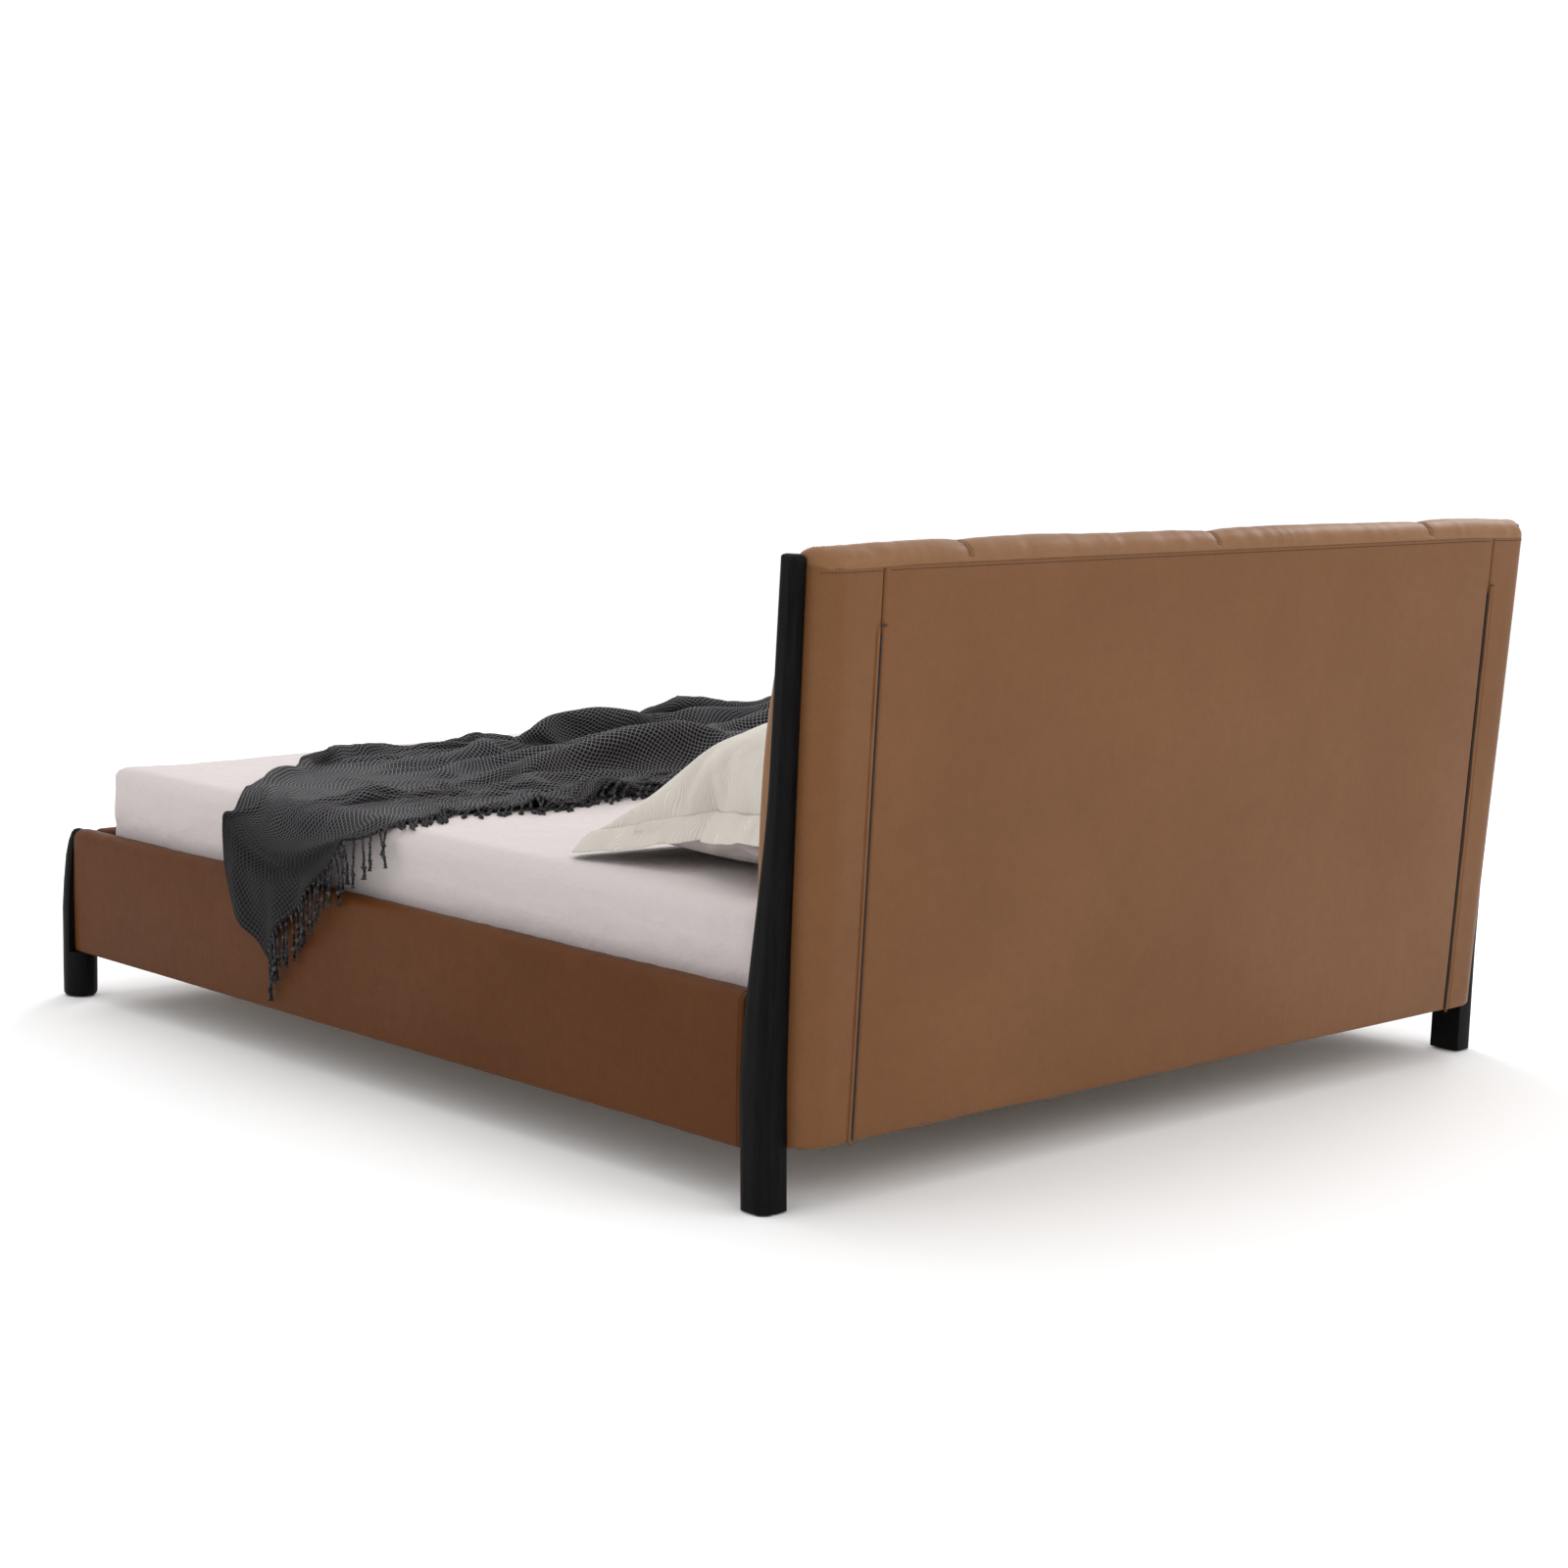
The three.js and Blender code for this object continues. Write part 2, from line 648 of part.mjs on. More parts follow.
// Beam hanger: a U of steel that carries the beam's end.
function hangerGeometry() {
  const inner = beamWidth / 2 + fitGap;
  const outer = inner + hangerThickness;
  const floor = beamBottomZ - fitGap;
  const armTop = beamTopZ - hangerDrop;
  const points = [
    [-outer, floor - hangerThickness],
    [outer, floor - hangerThickness],
    [outer, armTop],
    [inner, armTop],
    [inner, floor],
    [-inner, floor],
    [-inner, armTop],
    [-outer, armTop],
  ];
  const shape = new THREE.Shape(points.map(([x, z]) => new THREE.Vector2(x, z)));
  const hanger = new THREE.ExtrudeGeometry(shape, { depth: hangerLength, bevelEnabled: false });
  return hanger.rotateX(Math.PI / 2);
}

add("beam_hanger_head", hangerGeometry().translate(0, headFrontY - fitGap, 0), blackSteel);
add("beam_hanger_foot", hangerGeometry().translate(0, footRailInnerY + fitGap + hangerLength, 0), blackSteel);

// ---------------------------------------------------------------- centre legs and levelling feet
const legBottomZ = levellerThickness + levellerRetract + fitGap;
const legTopZ = beamBottomZ - fitGap;

function legGeometry() {
  const half = legSize / 2;
  const body = box([-half, -half, legBottomZ], [half, half, legTopZ]);
  const bore = new THREE.CylinderGeometry(legBoreRadius, legBoreRadius, legBoreDepth * 2, turnedSides);
  bore.rotateX(Math.PI / 2).translate(0, 0, legBottomZ);
  return toGeometry(toSolid(body).subtract(toSolid(bore)));
}

function levellerGeometry() {
  const profile = [
    [0, 0],
    [levellerRadius - levellerEdge, 0],
    [levellerRadius, levellerEdge],
    [levellerRadius, levellerThickness - levellerEdge],
    [levellerRadius - levellerEdge, levellerThickness],
    [levellerStemRadius, levellerThickness],
    [levellerStemRadius, levellerStemLength],
    [0, levellerStemLength],
  ];
  const outline = profile.map(([r, z]) => new THREE.Vector2(r, z));
  const turned = new THREE.LatheGeometry(outline, turnedSides);
  return turned.rotateX(Math.PI / 2);
}

for (let i = 0; i < legCount; i++) {
  const y = beamFootY + ((beamHeadY - beamFootY) * (i + 1)) / (legCount + 1);
  add(`centre_leg_${i + 1}`, legGeometry().translate(0, y, 0), pineWood);
  add(`levelling_foot_${i + 1}`, levellerGeometry().translate(0, y, 0), nylon);
}

// ---------------------------------------------------------------- rail fixings
const hookX = railInnerX + coreStart + railCoreThickness / 2;
const hookZ = (railBottomZ + railTopZ) / 2;
for (const [name, side] of sides) {
  const x = side * Math.max(hookX, postInnerX + hookPlateWidth / 2 + hookPlateEdge);
  const near = railHeadY + fitGap;
  const low = [x - hookPlateWidth / 2, near, hookZ - hookPlateHeight / 2];
  const high = [x + hookPlateWidth / 2, near + hookPlateThickness, hookZ + hookPlateHeight / 2];
  add(`rail_hook_plate_${name}`, box(low, high), zinc);
}

function cornerBlockRings(side) {
  const x = side * (railInnerX - 2 * fitGap);
  const y = footRailInnerY + fitGap;
  const low = ledgerBottomZ - fitGap - cornerBlockHeight;
  return [low, low + cornerBlockHeight].map((z) => [
    new THREE.Vector3(x, y, z),
    new THREE.Vector3(x - side * cornerBlockLeg, y, z),
    new THREE.Vector3(x, y + cornerBlockLeg, z),
  ]);
}

for (const [name, side] of sides) {
  add(`corner_block_${name}`, loft(cornerBlockRings(side)), pineWood);
}

// ---------------------------------------------------------------- mattress and sheet
function mattressGeometry(grow, lowZ, highZ) {
  const halfX = mattressWidth / 2 - sheetThickness - fitGap + grow;
  const halfY = mattressLength / 2 - sheetThickness - fitGap + grow;
  const middleY = (mattressHeadY + mattressFootY) / 2;
  const edge = [
    ...mattressLowEdge.map(([height, setIn]) => [lowZ + height, setIn]),
    ...mattressTopEdge.map(([depth, setIn]) => [highZ - depth, setIn]),
  ];
  const radius = mattressCornerRadius + grow;
  const rings = edge.map(([z, setIn]) => {
    const ring = roundedRing(halfX - setIn, halfY - setIn, radius - setIn, 5);
    return ring.map(([x, y]) => new THREE.Vector3(x, y + middleY, z));
  });
  return loft(rings);
}

function roundedRing(halfX, halfY, radius, count) {
  const r = Math.max(8, radius);
  return [
    ...quarter([halfX, halfY - r], [halfX, halfY], [halfX - r, halfY], count),
    ...quarter([r - halfX, halfY], [-halfX, halfY], [-halfX, halfY - r], count),
    ...quarter([-halfX, r - halfY], [-halfX, -halfY], [r - halfX, -halfY], count),
    ...quarter([halfX - r, -halfY], [halfX, -halfY], [halfX, r - halfY], count),
  ];
}

add("mattress", mattressGeometry(0, mattressBottomZ, mattressTopZ), foamCover);

function sheetGeometry() {
  const outer = mattressGeometry(fitGap + sheetThickness, mattressBottomZ + sheetHemHeight, sheetTopZ);
  const inner = mattressGeometry(fitGap, mattressBottomZ - mattressThickness, mattressTopZ + fitGap);
  return toGeometry(toSolid(outer).subtract(toSolid(inner)));
}

add("fitted_sheet", sheetGeometry(), whiteCotton);

// ---------------------------------------------------------------- pillows
// A pillow: round in its middle, closing to its seam all round. With straight sides below its
// seam it is the room that the pillow needs when what lies on it is lifted off.
function pillowGeometry(length, width, thickness, straightBelow = false) {
  const columns = 24;
  const layers = [-1, -0.86, -0.5, 0, 0.5, 0.86, 1];
  const rings = layers.map((level) => {
    const straight = straightBelow && level < 0;
    const shrink = straight ? 1 : 1 - pillowShrink * Math.abs(level) ** pillowCurve;
    return Array.from({ length: columns }, (_, i) => {
      const angle = (2 * Math.PI * i) / columns;
      const [c, s] = [Math.cos(angle), Math.sin(angle)];
      const power = Math.abs(c) ** pillowSquareness + Math.abs(s) ** pillowSquareness;
      const reach = shrink * power ** (-1 / pillowSquareness);
      const x = (length / 2) * reach * c;
      const y = (width / 2) * reach * s;
      return new THREE.Vector3(x, y, (thickness / 2) * level);
    });
  });
  return loft(rings);
}

const pillowX = mattressWidth / 2 - pillowSideSetIn - pillowLength / 2;
const pillowY = headFrontY - pillowHeadRoom - pillowWidth / 2;
const pillowZ = sheetTopZ + fitGap + pillowThickness / 2;

// The upper pillow leans over the lower one, with its front edge down on the mattress.
function shamGeometry() {
  const tilt = THREE.MathUtils.degToRad(shamTilt);
  const placed = pillowGeometry(shamLength, shamWidth, shamThickness).rotateX(tilt);
  const y = headFrontY - shamHeadRoom - (shamWidth / 2) * Math.cos(tilt);
  const z = sheetTopZ + shamLift + (shamWidth / 2) * Math.sin(tilt);
  placed.translate(pillowX, y, z);
  const below = box([pillowX - shamLength, y - shamWidth, 0],
    [pillowX + shamLength, y + shamWidth, sheetTopZ + fitGap]);
  const grown = [pillowLength, pillowWidth, pillowThickness].map((size) => size + 2 * fitGap);
  const room = pillowGeometry(...grown, true).translate(pillowX, pillowY, pillowZ);
  return toGeometry(toSolid(placed).subtract(toSolid(below)).subtract(toSolid(room)));
}

for (const [name, side] of sides) {
  const lower = pillowGeometry(pillowLength, pillowWidth, pillowThickness);
  add(`pillow_lower_${name}`, lower.translate(side * pillowX, pillowY, pillowZ), whiteCotton);
  const upper = add(`pillow_upper_${name}`, shamGeometry(), creamCotton);
  upper.position.x = side < 0 ? -2 * pillowX : 0;
}

// ---------------------------------------------------------------- throw
// Laid across the bed, with one corner hanging over the right rail.
function throwGeometry() {
  const top = sheetTopZ + throwRest;
  const headY = headFrontY - throwHeadEdge;
  const footY = headY - throwDepth;
  const sideX = mattressWidth / 2 + throwRest;
  const hangX = railOuterX + throwRest;
  const tipZ = sheetTopZ - throwDrop;
  const ledgeZ = railTopZ + throwRest;
  const strip = [
    [throwFarSetIn - mattressWidth / 2, top],
    [throwFarSetIn - mattressWidth / 2, top + throwPile],
    [sideX - throwPile, top + throwPile],
    [sideX + throwThickness, top],
    [sideX + throwThickness, ledgeZ + 2 * throwThickness],
    [hangX, ledgeZ + throwThickness],
    [hangX + throwThickness, ledgeZ],
    [hangX + throwThickness, tipZ],
    [hangX, tipZ],
    [hangX, ledgeZ],
    [sideX, ledgeZ + throwThickness],
    [sideX, top],
  ];
  const shape = new THREE.Shape(strip.map(([x, z]) => new THREE.Vector2(x, z)));
  const cloth = new THREE.ExtrudeGeometry(shape, { depth: throwDepth, bevelEnabled: false });
  cloth.rotateX(Math.PI / 2).translate(0, headY, 0);
  const hangHead = headY - throwHangSetIn;
  const hangFoot = hangHead - throwHangWidth;
  const tipY = hangFoot + throwTipShare * throwHangWidth;
  const above = top + 2 * throwPile;
  const outline = [
    [hangHead, above],
    [hangHead, ledgeZ - throwHeadShoulder],
    [tipY + throwTipWidth / 2, tipZ],
    [tipY - throwTipWidth / 2, tipZ],
    [hangFoot, ledgeZ - throwFootShoulder],
    [hangFoot, above],
  ];
  const hangShape = new THREE.Shape(outline.map(([y, z]) => new THREE.Vector2(y, z)));
  const hang = new THREE.ExtrudeGeometry(hangShape, { depth: railOuterX, bevelEnabled: false });
  hang.rotateX(Math.PI / 2).rotateZ(Math.PI / 2);
  const beside = box([sideX - fitGap, footY - throwDepth, 0], [2 * railOuterX, 0, above]);
  return toGeometry(toSolid(cloth).subtract(toSolid(beside).subtract(toSolid(hang))));
}

add("throw", throwGeometry(), greyWool);

// ---------------------------------------------------------------- centre the bed over the origin
const extent = new THREE.Box3().setFromObject(bed);
bed.position.y = -(extent.min.y + extent.max.y) / 2;

const model = new THREE.Group();
model.add(bed);
model.updateMatrixWorld(true);

export default model;
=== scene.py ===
import math
import bmesh
import bpy
import numpy as np
from mathutils import Matrix, Vector
from mathutils.bvhtree import BVHTree


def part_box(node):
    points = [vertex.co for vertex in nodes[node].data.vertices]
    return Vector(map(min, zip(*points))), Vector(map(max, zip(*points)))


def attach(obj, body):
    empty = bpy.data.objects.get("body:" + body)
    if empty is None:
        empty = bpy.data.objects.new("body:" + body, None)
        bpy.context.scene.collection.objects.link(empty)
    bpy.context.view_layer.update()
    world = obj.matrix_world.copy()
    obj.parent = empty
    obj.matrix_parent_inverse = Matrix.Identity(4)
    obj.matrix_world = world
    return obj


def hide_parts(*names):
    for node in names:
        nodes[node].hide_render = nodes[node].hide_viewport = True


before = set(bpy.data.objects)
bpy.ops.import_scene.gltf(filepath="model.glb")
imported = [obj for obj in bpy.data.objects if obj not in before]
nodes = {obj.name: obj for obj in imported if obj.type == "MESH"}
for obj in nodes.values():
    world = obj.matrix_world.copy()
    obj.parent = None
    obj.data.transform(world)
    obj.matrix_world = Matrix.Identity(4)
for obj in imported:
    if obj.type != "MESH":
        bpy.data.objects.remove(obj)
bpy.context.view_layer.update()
scene = bpy.context.scene
scene.view_settings.view_transform = "Standard"
print("bed frame loaded")


# shared shape of the headboard and its posts, in metres
headPlan = dict(
    postHeight=1.058,
    bendStart=0.2,
    lean=0.048,
    leanCurve=1.2,
    splay=0.030,
    frontReach=0.080,
    rollStart=0.450,
    roll=0.092,
    rollPower=2.3,
    seamHeight=1.040,
    crownRise=0.031,
    crownPeak=0.58,
    backFoot=0.038,
    backSlope=0.058,
    clearance=0.108,
    shoulder=0.046,
    shoulderStep=0.004,
    sideSunk=0.010,
    postCover=0.002,
    halfWidth=0.916,
    padThickness=0.015,
    frameDepth=0.0466,
    frameTop=0.960,
    slit=0.812,
    slitSplay=0.3,  # share of the posts' splay
)
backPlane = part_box("headboard_front_pad")[0].y + headPlan["frontReach"]
sheetLow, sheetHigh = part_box("fitted_sheet")
railLow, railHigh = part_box("side_rail_cover_right")
sheetTop = sheetHigh.z


def smooth(low, high, value):
    t = np.clip((value - low) / (high - low), 0, 1)
    return t * t * (3 - 2 * t)


def bendAt(z):
    return np.clip(z - headPlan["bendStart"], 0, None) / (headPlan["postHeight"] - headPlan["bendStart"])


def leanAt(z):
    return headPlan["lean"] * bendAt(z) ** headPlan["leanCurve"]


def splayAt(z):
    return headPlan["splay"] * z / headPlan["postHeight"]


def headFrontAt(z):
    rise = np.clip(z - headPlan["rollStart"], 0, None) / (headPlan["seamHeight"] - headPlan["rollStart"])
    return backPlane - headPlan["frontReach"] + headPlan["roll"] * rise ** headPlan["rollPower"]


def headBackAt(z):
    return backPlane + headPlan["backFoot"] + headPlan["backSlope"] * (z - headPlan["clearance"])


def headHalfAt(z):
    return headPlan["halfWidth"] + splayAt(z)


def sideEdgeAt(z):
    return np.minimum(headBackAt(z) - headPlan["sideSunk"], backPlane + leanAt(z) + headPlan["postCover"])


def slitAt(z):
    return headPlan["slit"] + splayAt(z) * headPlan["slitSplay"]


noisePlan = dict(
    stride=(127.1, 311.7, 74.7),
    seedStride=53.3,
    churn=43758.5453,
)


# smooth lattice noise from -1 to 1, the same in every run
def softNoise(x, y, z=0.0, seed=0):
    x, y, z = np.broadcast_arrays(np.asarray(x, float), np.asarray(y, float), np.asarray(z, float))
    cell = [np.floor(v) for v in (x, y, z)]
    part = [v - c for v, c in zip((x, y, z), cell)]
    part = [p * p * (3 - 2 * p) for p in part]
    stride = noisePlan["stride"]
    total = np.zeros(x.shape)
    for i in (0, 1):
        for j in (0, 1):
            for k in (0, 1):
                mix = (cell[0] + i) * stride[0] + (cell[1] + j) * stride[1] + (cell[2] + k) * stride[2]
                value = np.sin(mix + seed * noisePlan["seedStride"]) * noisePlan["churn"]
                value = (value - np.floor(value)) * 2 - 1
                weight = (part[0] if i else 1 - part[0]) * (part[1] if j else 1 - part[1])
                total += value * weight * (part[2] if k else 1 - part[2])
    return total


# narrow valleys with soft shoulders, like creases in hide or cloth
def creaseNoise(x, y, z=0.0, seed=0, sharp=3.0):
    return -((1 - np.abs(softNoise(x, y, z, seed))) ** sharp)


def setFlat(mesh, uv):
    layer = mesh.uv_layers.get("flat") or mesh.uv_layers.new(name="flat")
    corner = np.zeros(len(mesh.loops), int)
    mesh.loops.foreach_get("vertex_index", corner)
    layer.data.foreach_set("uv", np.asarray(uv, float)[corner].ravel())


def meshPiece(name, points, faces, uv=None):
    mesh = bpy.data.meshes.new(name)
    mesh.from_pydata(np.asarray(points, float).tolist(), [], faces)
    if uv is not None:
        setFlat(mesh, uv)
    mesh.shade_smooth()
    mesh.update()
    piece = bpy.data.objects.new(name, mesh)
    scene.collection.objects.link(piece)
    return piece


def gridFaces(rows, columns, closed=False):
    faces = []
    last = columns if closed else columns - 1
    for r in range(rows - 1):
        for c in range(last):
            d = (c + 1) % columns
            faces.append((r * columns + c, r * columns + d, (r + 1) * columns + d, (r + 1) * columns + c))
    return faces


def faceOutwards(piece, weld=0.00005):
    shell = bmesh.new()
    shell.from_mesh(piece.data)
    bmesh.ops.remove_doubles(shell, verts=shell.verts, dist=weld)
    bmesh.ops.recalc_face_normals(shell, faces=shell.faces)
    shell.to_mesh(piece.data)
    shell.free()
    piece.data.shade_smooth()
    return piece


# a closed body through rings of points, with a fan at each end
def loftPiece(name, rings):
    rings = np.asarray(rings, float)
    rows, count = rings.shape[:2]
    faces = gridFaces(rows, count, closed=True)
    points = rings.reshape(-1, 3)
    ends = np.array([rings[0].mean(0), rings[-1].mean(0)])
    first = len(points)
    faces += [((i + 1) % count, i, first) for i in range(count)]
    top = (rows - 1) * count
    faces += [(top + i, top + (i + 1) % count, first + 1) for i in range(count)]
    return faceOutwards(meshPiece(name, np.vstack([points, ends]), faces))


def meshPoints(piece):
    points = np.zeros(len(piece.data.vertices) * 3, np.float32)
    piece.data.vertices.foreach_get("co", points)
    return points.reshape(-1, 3).astype(float)


def movePoints(piece, points):
    piece.data.vertices.foreach_set("co", np.asarray(points, np.float32).ravel())
    piece.data.update()


def sharpen(piece, degrees=35):
    piece.data.set_sharp_from_angle(angle=math.radians(degrees))


# puts modifiers into the mesh
def settle(piece):
    graph = bpy.context.evaluated_depsgraph_get()
    old = piece.data
    piece.data = bpy.data.meshes.new_from_object(piece.evaluated_get(graph), depsgraph=graph)
    piece.modifiers.clear()
    bpy.data.meshes.remove(old)
    return piece


def wallThickness(piece, thickness, offset=-1.0):
    wall = piece.modifiers.new("wall", "SOLIDIFY")
    wall.thickness = thickness
    wall.offset = offset
    wall.use_even_offset = False
    return settle(piece)


def roundUp(piece, levels=1):
    finer = piece.modifiers.new("finer", "SUBSURF")
    finer.levels = levels
    finer.render_levels = levels
    return settle(piece)


def paint(piece, finish):
    piece.data.materials.clear()
    piece.data.materials.append(finish)


# distance from a path's start to each of its points
def pathRun(points):
    return np.concatenate([[0], np.cumsum(np.linalg.norm(np.diff(points, axis=0), axis=1))])


def alongPath(points, run, marks):
    return np.stack([np.interp(marks, run, points[:, i]) for i in range(3)], axis=1)


def unit(way):
    return way / (np.linalg.norm(way) + 1e-9)


def arcPoints(centre, radius, start, end, count):
    angles = np.radians(np.linspace(start, end, count))
    return [(centre[0] + radius * math.cos(a), centre[1] + radius * math.sin(a)) for a in angles]


def pickSocket(slots, key):
    if isinstance(key, int):
        return slots[key]
    return next(s for s in slots if key in (s.identifier, s.name))


# any node: its type, its settings, then the values or links of its sockets
def addNode(tree, kind, settings=None, sockets=None, out=0):
    made = tree.nodes.new(kind)
    for key, value in (settings or {}).items():
        setattr(made, key, value)
    for key, value in (sockets or {}).items():
        slot = pickSocket(made.inputs, key)
        value = value.socket if isinstance(value, Wire) else value
        if isinstance(value, bpy.types.NodeSocket):
            tree.links.new(value, slot)
        else:
            slot.default_value = value
    return pickSocket(made.outputs, out)


# shader sockets that read as plain maths
class Wire:
    def __init__(self, tree, socket):
        self.tree = tree
        self.socket = socket

    def maths(self, operation, *values):
        settings = {"operation": operation}
        return Wire(self.tree, addNode(self.tree, "ShaderNodeMath", settings, dict(enumerate(values))))

    def __add__(self, other):
        return self.maths("ADD", self, other)

    def __radd__(self, other):
        return self.maths("ADD", other, self)

    def __sub__(self, other):
        return self.maths("SUBTRACT", self, other)

    def __rsub__(self, other):
        return self.maths("SUBTRACT", other, self)

    def __mul__(self, other):
        return self.maths("MULTIPLY", self, other)

    def __rmul__(self, other):
        return self.maths("MULTIPLY", other, self)

    def sine(self):
        return self.maths("SINE", self)

    def size(self):
        return self.maths("ABSOLUTE", self)

    def smallest(self, other):
        return self.maths("MINIMUM", self, other)


class Finish:
    def __init__(self, name):
        self.material = bpy.data.materials.new(name)
        self.material.use_nodes = True
        self.tree = self.material.node_tree
        self.tree.nodes.clear()

    def node(self, kind, settings=None, sockets=None, out=0):
        return Wire(self.tree, addNode(self.tree, "ShaderNode" + kind, settings, sockets, out))

    def axes(self, source, count):
        return [self.node("SeparateXYZ", None, {"Vector": source}, out=i) for i in range(count)]

    def place(self, scale=(1, 1, 1), turn=(0, 0, 0), kind="Object"):
        source = self.node("TexCoord", out=kind)
        turned = tuple(math.radians(a) for a in turn)
        return self.node("Mapping", None, {"Vector": source, "Scale": scale, "Rotation": turned})

    def noise(self, place, scale, detail=4, roughness=0.5, distortion=0.0):
        sockets = {"Vector": place, "Scale": scale, "Detail": detail}
        sockets.update({"Roughness": roughness, "Distortion": distortion})
        return self.node("TexNoise", None, sockets, out="Fac")

    def blend(self, factor, first, second, mode="MIX"):
        colours = [(*c, 1) if isinstance(c, tuple) and len(c) == 3 else c for c in (first, second)]
        sockets = {"Factor_Float": factor, "A_Color": colours[0], "B_Color": colours[1]}
        settings = {"data_type": "RGBA", "blend_type": mode}
        return self.node("Mix", settings, sockets, out="Result_Color")

    def spread(self, value, low, high, toLow=0.0, toHigh=1.0):
        sockets = {"Value": value, "From Min": low, "From Max": high, "To Min": toLow, "To Max": toHigh}
        return self.node("MapRange", {"interpolation_type": "SMOOTHSTEP"}, sockets, out="Result")

    def relief(self, height, distance, strength=1.0, normal=None):
        sockets = {"Height": height, "Distance": distance, "Strength": strength}
        if normal is not None:
            sockets["Normal"] = normal
        return self.node("Bump", None, sockets)

    def finish(self, **sockets):
        names = {key.replace("_", " "): value for key, value in sockets.items()}
        shader = self.node("BsdfPrincipled", None, names)
        end = self.tree.nodes.new("ShaderNodeOutputMaterial")
        self.tree.links.new(shader.socket, end.inputs["Surface"])
        return self.material


def scaled(colour, share):
    return tuple(min(1, c * share) for c in colour)


leatherPlan = dict(
    grainSize=900,  # pebbles to the metre
    grainHeight=0.00022,
    fleck=0.7,  # tones of the marks beside the dye's own
    dye=0.62,
    pore=0.5,
    scuff=1.9,
    # one hide in three painted lights: the crown tone is lightened as painted top light, and the rail tone is
    # darkened as painted shade on the side turned away from the lamps
    crown=((0.205, 0.091, 0.034), (0.240, 0.111, 0.043)),
    back=((0.160, 0.064, 0.0200), (0.182, 0.076, 0.0250)),
    rail=((0.088, 0.027, 0.0055), (0.103, 0.033, 0.0075)),
)


# full grain hide: pebbled relief, cloudy dye, faint scuffs and dry creases
def leather(name, tones, roughness, shine):
    hide = Finish(name)
    place = hide.place()
    cloud = hide.noise(place, 2.2, detail=3)
    mottle = hide.noise(place, 38, detail=5, roughness=0.6)
    speck = hide.noise(place, 330, detail=3, roughness=0.7)
    pebbles = hide.node("TexVoronoi", {"feature": "F1"}, {"Vector": place, "Scale": leatherPlan["grainSize"]})
    fold = hide.noise(hide.place(scale=(1, 1, 0.35)), 24, detail=6, roughness=0.7, distortion=0.6)
    scuff = hide.spread(hide.noise(hide.place(scale=(1, 1, 0.12)), 14, detail=8, roughness=0.75), 0.66, 0.8)
    base = hide.blend(hide.spread(cloud, 0.3, 0.7), tones[0], tones[1])
    flecked = hide.blend(hide.spread(speck, 0.4, 0.65, 0, 0.22), base, scaled(tones[0], leatherPlan["fleck"]))
    dyed = hide.blend(hide.spread(mottle, 0.35, 0.75, 0, 0.16), flecked, scaled(tones[0], leatherPlan["dye"]))
    pored = hide.blend(hide.spread(pebbles, 0.3, 0.75, 0, 0.25), dyed, scaled(tones[0], leatherPlan["pore"]))
    worn = hide.blend(scuff * 0.22, pored, scaled(tones[1], leatherPlan["scuff"]))
    height = (1 - pebbles) * 0.55 + mottle * 0.5 + hide.spread(fold, 0.45, 0.55) * 0.5
    normal = hide.relief(height, leatherPlan["grainHeight"])
    gloss = roughness + mottle * 0.12 - hide.spread(cloud, 0.3, 0.7) * 0.05 + scuff * 0.08
    return hide.finish(Base_Color=worn, Roughness=gloss, Normal=normal, Specular_IOR_Level=shine)


def thread(name, colour):
    yarn = Finish(name)
    fibre = yarn.noise(yarn.place(), 1500, detail=3)
    tone = yarn.blend(fibre, scaled(colour, 0.6), colour)
    return yarn.finish(Base_Color=tone, Roughness=0.7, Normal=yarn.relief(fibre, 0.0002))


# black stained oak: long open pores under a satin lacquer
def ebonyWood():
    wood = Finish("ebony_stained_wood")
    place = wood.place(scale=(1, 1, 0.05))
    ring = wood.noise(place, 160, detail=6, roughness=0.65, distortion=0.4)
    pore = wood.spread(wood.noise(wood.place(scale=(1, 1, 0.02)), 900, detail=2), 0.55, 0.72)
    rub = wood.spread(wood.noise(wood.place(), 9, detail=5), 0.4, 0.75)
    tone = wood.blend(wood.spread(ring, 0.35, 0.7), (0.0022, 0.0020, 0.0022), (0.0056, 0.0051, 0.0054))
    worn = wood.blend(rub * 0.3, tone, (0.0105, 0.0098, 0.0102))
    height = 0.6 * ring - pore
    gloss = 0.36 + ring * 0.12 + pore * 0.1 + rub * 0.08
    normal = wood.relief(height, 0.00018)
    return wood.finish(Base_Color=worn, Roughness=gloss, Normal=normal, Specular_IOR_Level=0.06)


# planed timber with growth rings along its length
def paleWood(name, light, dark, along):
    wood = Finish(name)

    def stretched(share):
        return wood.place(scale=tuple(share if axis == along else 1.0 for axis in "xyz"))

    place = stretched(0.06)
    sway = wood.noise(place, 7, detail=2)
    ring = (wood.noise(place, 20, detail=2, distortion=0.3) * 44 + sway * 8).sine()
    fibre = wood.noise(stretched(0.03), 700, detail=3)
    knot = wood.spread(wood.noise(wood.place(), 4.5, detail=1), 0.74, 0.8)
    tone = wood.blend(wood.spread(ring, -0.8, 0.9), light, dark)
    fine = wood.blend(fibre * 0.35, tone, scaled(dark, 0.7))
    knotted = wood.blend(knot * 0.6, fine, scaled(dark, 0.35))
    height = ring * 0.25 + fibre
    return wood.finish(Base_Color=knotted, Roughness=0.55 + fibre * 0.2, Normal=wood.relief(height, 0.0002))


